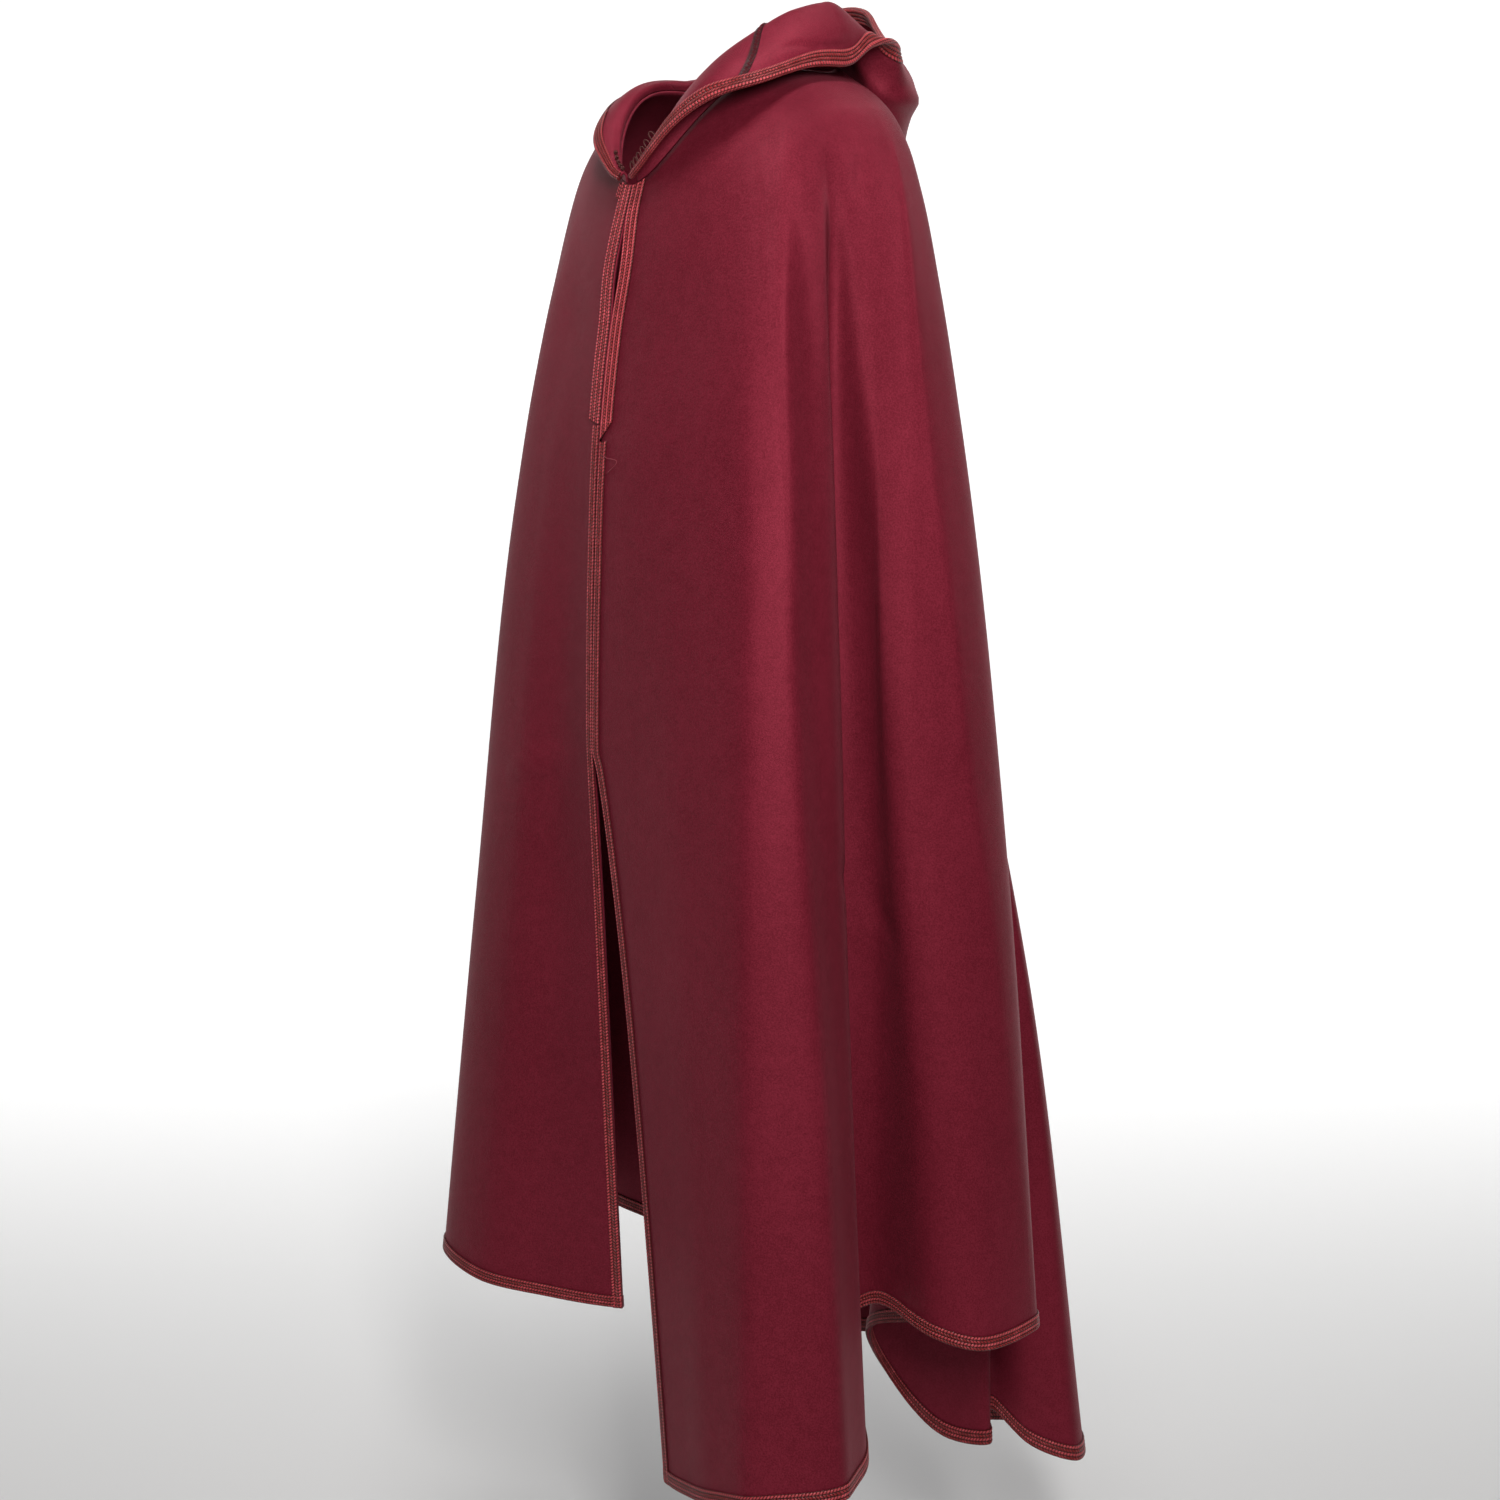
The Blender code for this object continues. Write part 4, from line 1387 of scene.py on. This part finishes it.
@dataclass
class Hood:
    """The hood, with the braid folded over its rim."""

    form: HoodForm
    wool: Material
    braid: Material
    seam_rows: tuple[int, int] = (16, 61)  # between these rows the left front's seam is stitched
    zigzag: float = 0.0052  # from one point of the zigzag to the next on that side
    zigzag_points: int = 12  # in that length
    zigzag_swing: float = 0.0026  # how far it goes to each side
    zigzag_lift: Pair = (0.0017, 0.0006)  # its height over the seam, and how much less it has at its points
    sharp: float = 0.98  # 1 would make its points sharp
    rim_air: float = 0.0004
    rim_rib: float = 0.25  # how much of a row's height stands up on the rim itself
    shown: Array = field(init=False)
    hidden: Array = field(init=False)
    normals: Array = field(init=False)

    def __post_init__(self) -> None:
        """Work out the hood's two faces."""
        self.shown = self.form.grid()
        self.normals = normals_of(self.shown)
        self.hidden = self.shown - self.normals * CLOTH
        angles = np.linspace(PROFILES[0].angle, PROFILES[-1].angle, self.form.columns + 1)
        seam = self.form.cloak.ring_point(angles, np.zeros_like(angles))[:, 2] + SEAM
        self.hidden[0, :, 2] = np.maximum(self.hidden[0, :, 2], seam)

    def make_cloth(self) -> list[Piece]:
        """Make the hood's back, and the strip that is sewn on at each front end.

        Returns:
            The pieces, the back first.
        """
        right, left = self.form.strip_ends
        cuts = (
            ("hood", right, left),
            ("hood_front_right", 0, right),
            ("hood_front_left", left, self.form.columns),
        )
        pieces = []
        for node, first, last in cuts:
            faces = [grid[:, first : last + 1].copy() for grid in (self.shown, self.hidden)]
            for edge, column, way in ((0, first, 1), (-1, last, -1)):
                if 0 < column < self.form.columns:
                    inward = way * unit(self.shown[:, column + 1] - self.shown[:, column - 1])
                    for face in faces:
                        face[:, edge] += inward * self.form.piece_gap / 2
            pieces.append(dress(cloth_wall(f"{node}_cloth", *faces, self.wool), "burgundy_wool", node))
        return pieces

    def make_rim(self) -> Piece:
        """Make the trim that is folded over the rim.

        Returns:
            The piece.
        """
        rows = self.form.band_rows
        down = unit(self.shown[-1] - self.shown[-2])
        middle = (self.shown[-1] + self.hidden[-1]) / 2 + down * self.rim_air
        lines = np.concatenate([self.shown[-rows - 1 :], middle[None], self.hidden[-rows - 1 :][::-1]])
        facing = self.normals[-rows - 1 :]
        normals = np.concatenate([facing, down[None], -facing[::-1]])
        normals[rows] = unit(facing[-1] + down)
        normals[rows + 2] = unit(down - facing[-1])
        ribs = np.ones(2 * rows + 2)
        ribs[rows : rows + 2] = self.rim_rib
        # the outer rows and the rows over the rim's fold get the most painted shine, partly as painted
        # highlight on the fold
        pale = (0, rows - 1, rows, rows + 1, rows + 2, 2 * rows + 1)
        band = Braid("hood_rim_rows", pale_rows=pale, paleness=0.40)
        return dress(band.build(lines, normals, self.braid, ribs), "satin_braid", "hood_braid")

    def make_seam(self, overlock: Material, thread: Material) -> list[Piece]:
        """Make the overlocked edge along the left front's seam, and the zigzag that holds it down.

        Args:
            overlock: The edge's material.
            thread: The zigzag's material.

        Returns:
            The pieces.
        """
        column = self.form.strip_ends[1]
        rows, columns = slice(*self.seam_rows), slice(column - 1, column + 3)
        lines, normals = (grid[rows, columns].swapaxes(0, 1) for grid in (self.shown, self.normals))
        band = Braid("hood_seam_left", under=0.0002, base=0.0006, rib=0.0005, stitch=0.0026, slant=2.0)
        reached = lengths_along(lines[1])
        wanted = np.arange(0, reached[-1], self.zigzag / self.zigzag_points)
        ways = (lines[1], unit(lines[2] - lines[0]), normals[1])
        line, beside, normal = (sampled(part, reached, wanted) for part in ways)
        swing = np.arcsin(self.sharp * np.sin(wanted / self.zigzag * math.tau))[:, None] / (math.pi / 2)
        high, less = self.zigzag_lift
        path = line + beside * swing * self.zigzag_swing + normal * (high - less * swing**4)
        zigzag = Cord("hood_zigzag_left", radius=0.0004, sides=8)
        pieces = [band.build(lines, normals, overlock), zigzag.build(path, thread)]
        return [dress(piece, "brown_cord", "hood_front_left") for piece in pieces]


@dataclass
class Clasp:
    """The cord loops on the left of the neck, and the knots of the same cord on the right."""

    hood: Hood
    cord: Material
    count: int = 6
    angles: Pair = (176.0, 160.0)  # of the lowest and the highest, round the neck
    radius: float = 0.00075  # of the cord
    width: float = 0.0052  # of a loop
    height: float = 0.0092
    lean: float = 0.0006  # how far a loop leans out of flat
    loop_points: int = 48
    knot: float = 0.0021  # a knot's radius
    knot_points: int = 140

    def _seat(self, angle: float) -> tuple[Array, Array, Array]:
        """Where one piece of the clasp stands.

        Args:
            angle: Its angle round the neck.

        Returns:
            The top of the rolled hood there, the direction along it, and the direction up from it.
        """
        shown = self.hood.shown
        columns = shown.shape[1] - 1
        place = (angle - PROFILES[0].angle) / (PROFILES[-1].angle - PROFILES[0].angle) * columns
        column = min(int(place), columns - 1)
        part = place - column
        line = shown[:, column] * (1 - part) + shown[:, column + 1] * part
        along = unit(shown[0, column + 1] - shown[0, column])
        upward = unit(np.array(UP) - along * along[2])
        return line[np.argmax(line[:, 2])], along, upward

    def make_loop(self, number: int, angle: float) -> Piece:
        """Make one loop: a turn of cord, a little open at its foot.

        Args:
            number: Its number, from the lowest.
            angle: Its angle round the neck.

        Returns:
            The piece.
        """
        top, along, upward = self._seat(angle)
        sideways = np.cross(along, upward)
        middle = top + upward * (self.height / 2 + self.radius + AIR)
        turn = np.linspace(0, math.tau, self.loop_points, endpoint=False)[:, None]
        path = middle + along * np.cos(turn) * self.width / 2 + upward * np.sin(turn) * self.height / 2
        path = path + sideways * np.sin(turn * 0.5) * self.lean * np.cos(turn)
        loop = Cord(f"clasp_loop_{number}", self.radius).build(path, self.cord, closed=True)
        return dress(loop, "brown_cord", f"loop_{number}")

    def make_knot(self, number: int, angle: float) -> Piece:
        """Make one knot: cord wound over itself into a ball.

        Args:
            number: Its number, from the lowest.
            angle: Its angle round the neck.

        Returns:
            The piece.
        """
        top, along, upward = self._seat(-angle)
        sideways = np.cross(along, upward)
        middle = top + upward * (self.knot + AIR)
        turn = np.linspace(0, math.tau, self.knot_points, endpoint=False)[:, None]
        around, over = 2 * turn, 3 * turn  # it goes round twice, and over and under itself three times
        spread = self.knot + self.radius * (0.75 * np.cos(over) - 1.5)
        path = middle + along * spread * np.cos(around) + sideways * spread * np.sin(around)
        path = path + upward * self.radius * 1.5 * np.sin(over)
        knot = Cord(f"clasp_knot_{number}", self.radius).build(path, self.cord, closed=True)
        return dress(knot, "brown_cord", f"knot_{number}")

    def make(self) -> None:
        """Make all of the loops and knots."""
        for number, angle in enumerate(np.linspace(*self.angles, self.count), start=1):
            self.make_loop(number, angle)
            self.make_knot(number, angle)


def hang(name: str, data: Any, place: Place, aim: Place) -> Piece:
    """Put a lamp or a camera in its place.

    Args:
        name: Its name.
        data: The lamp's or camera's own data.
        place: Where it stands.
        aim: The point that it faces.

    Returns:
        The object.
    """
    made = bpy.data.objects.new(name, data)
    made.location = place
    made.rotation_mode = "QUATERNION"
    made.rotation_quaternion = Vector(np.array(aim) - np.array(place)).to_track_quat("-Z", "Y")
    bpy.context.scene.collection.objects.link(made)
    return made


@dataclass(frozen=True)
class Lamp:
    """One soft studio light."""

    name: str
    place: Place
    aim: Place
    size: float
    power: float
    tone: Colour = (1.0, 0.985, 0.97)
    tall: float = 0.0  # a disc has no height of its own

    def make(self) -> None:
        """Hang the light."""
        data = bpy.data.lights.new(self.name, "AREA")
        data.shape = "RECTANGLE" if self.tall else "DISK"
        data.size = self.size
        if self.tall:
            data.size_y = self.tall
        data.energy = self.power
        data.color = self.tone
        hang(self.name, data, self.place, self.aim)


@dataclass
class Studio:
    """The camera, the lights and the pale floor."""

    paper: Material
    camera_place: Place = (1.891, -1.478, -0.336)
    camera_aim: Place = (0.0, 0.0, -0.669)
    lens: float = 56.4
    sensor: float = 36.0
    floor: float = -1.66
    near: float = -6.0  # the paper's near end, from the cloak towards the camera
    wall: float = 4.6  # how far behind the cloak the paper stands up
    bend: float = 1.5
    tall: float = 7.0
    wide: float = 9.0  # to each side
    flat_steps: int = 23
    bend_steps: int = 12
    dark_reach: float = -0.4  # where the paper starts to glow with painted light
    ambient: float = 0.015
    lamps: tuple[Lamp, ...] = (
        Lamp("left_light", (2.15, -1.34, 0.42), (0.0, 0.0, 0.90), size=0.36, power=86.0, tall=1.3),
        Lamp("top_light", (0.55, -0.45, 1.75), (0.10, -0.02, -0.10), size=0.60, power=36.0),
        Lamp("right_light", (-0.95, -1.90, 1.10), (0.0, 0.0, -0.40), 0.70, 4.0, (1.0, 0.99, 0.98)),
    )

    def make(self) -> None:
        """Set up the whole studio."""
        scene = bpy.context.scene
        scene.view_settings.view_transform = "Standard"
        data = bpy.data.cameras.new("camera")
        data.lens = self.lens
        data.sensor_width = self.sensor
        scene.camera = hang("camera", data, self.camera_place, self.camera_aim)
        for lamp in self.lamps:
            lamp.make()
        self._make_floor()
        world = bpy.data.worlds.new("studio")
        world.use_nodes = True
        background = world.node_tree.nodes["Background"]
        background.inputs["Color"].default_value = (1.0, 1.0, 1.0, 1.0)
        background.inputs["Strength"].default_value = self.ambient
        scene.world = world

    def _make_floor(self) -> None:
        """Lay the sheet of paper: flat under the cloak, and curved up into a wall far behind it that glows
        with painted light.
        """
        away = unit(np.array([-self.camera_place[0], -self.camera_place[1], 0.0]))
        beside = np.array([-away[1], away[0], 0.0]) * self.wide
        turn = np.linspace(0, math.pi / 2, self.bend_steps + 1)
        flat = np.linspace(self.near, self.wall - self.bend, self.flat_steps + 1)[:-1]
        reach = np.concatenate([flat, self.wall + self.bend * (np.sin(turn) - 1), [self.wall]])
        rise = np.concatenate([flat * 0, self.bend * (1 - np.cos(turn)), [self.tall]])
        middle = away * reach[:, None] + np.array(UP) * (self.floor + rise)[:, None]
        points = middle[:, None] + np.array([-beside, beside])
        floor = make_object("floor", points.reshape(-1, 3), grid_faces(len(middle), 2), self.paper)
        # painted light: how much each part of the paper glows, from dim near the cloak to full on the far
        # wall
        lit = np.clip((reach - self.dark_reach) / (self.wall - self.bend - self.dark_reach), 0, 1)
        paint_tone(floor, "lit", np.repeat(lit * lit * (3 - 2 * lit), 2))


def main() -> None:
    """Build the cloak, piece by piece."""
    logging.basicConfig(level=logging.INFO, format="%(message)s")
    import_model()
    wool = WoolFinish().make()
    braid = BraidFinish().make()
    # the overlock's painted groove shade, its dark red thread and its painted shine
    dark_reds = ((0.010, 0.0012, 0.0018), (0.042, 0.0042, 0.0068), (0.110, 0.018, 0.026))
    overlock = BraidFinish("overlock_thread", *dark_reds).make()
    cord = ThreadFinish("brown_cord_thread", (0.022, 0.005, 0.005), (0.105, 0.026, 0.024)).make()
    dark_thread = ThreadFinish("dark_red_thread", (0.060, 0.005, 0.008), (0.150, 0.016, 0.024)).make()
    pale_thread = ThreadFinish("pale_red_thread", (0.160, 0.020, 0.026), (0.380, 0.070, 0.095)).make()
    Studio(PaperFinish().make()).make()

    cloak = Cloak(CloakForm(), wool, braid)
    cloth = cloak.make_cloth()
    trims = [cloak.make_placket(side) for side in Side]
    trims += [cloak.make_edge(side) for side in Side]
    trims += cloak.make_hem()
    trims += [cloak.make_tab(), cloak.make_loose_thread(pale_thread)]

    hood = Hood(HoodForm(cloak.form), wool, braid)
    hood_back, *hood_fronts = hood.make_cloth()
    rim = hood.make_rim()
    seam = hood.make_seam(overlock, dark_thread)
    Clasp(hood, cord).make()


if __name__ == "__main__":
    main()
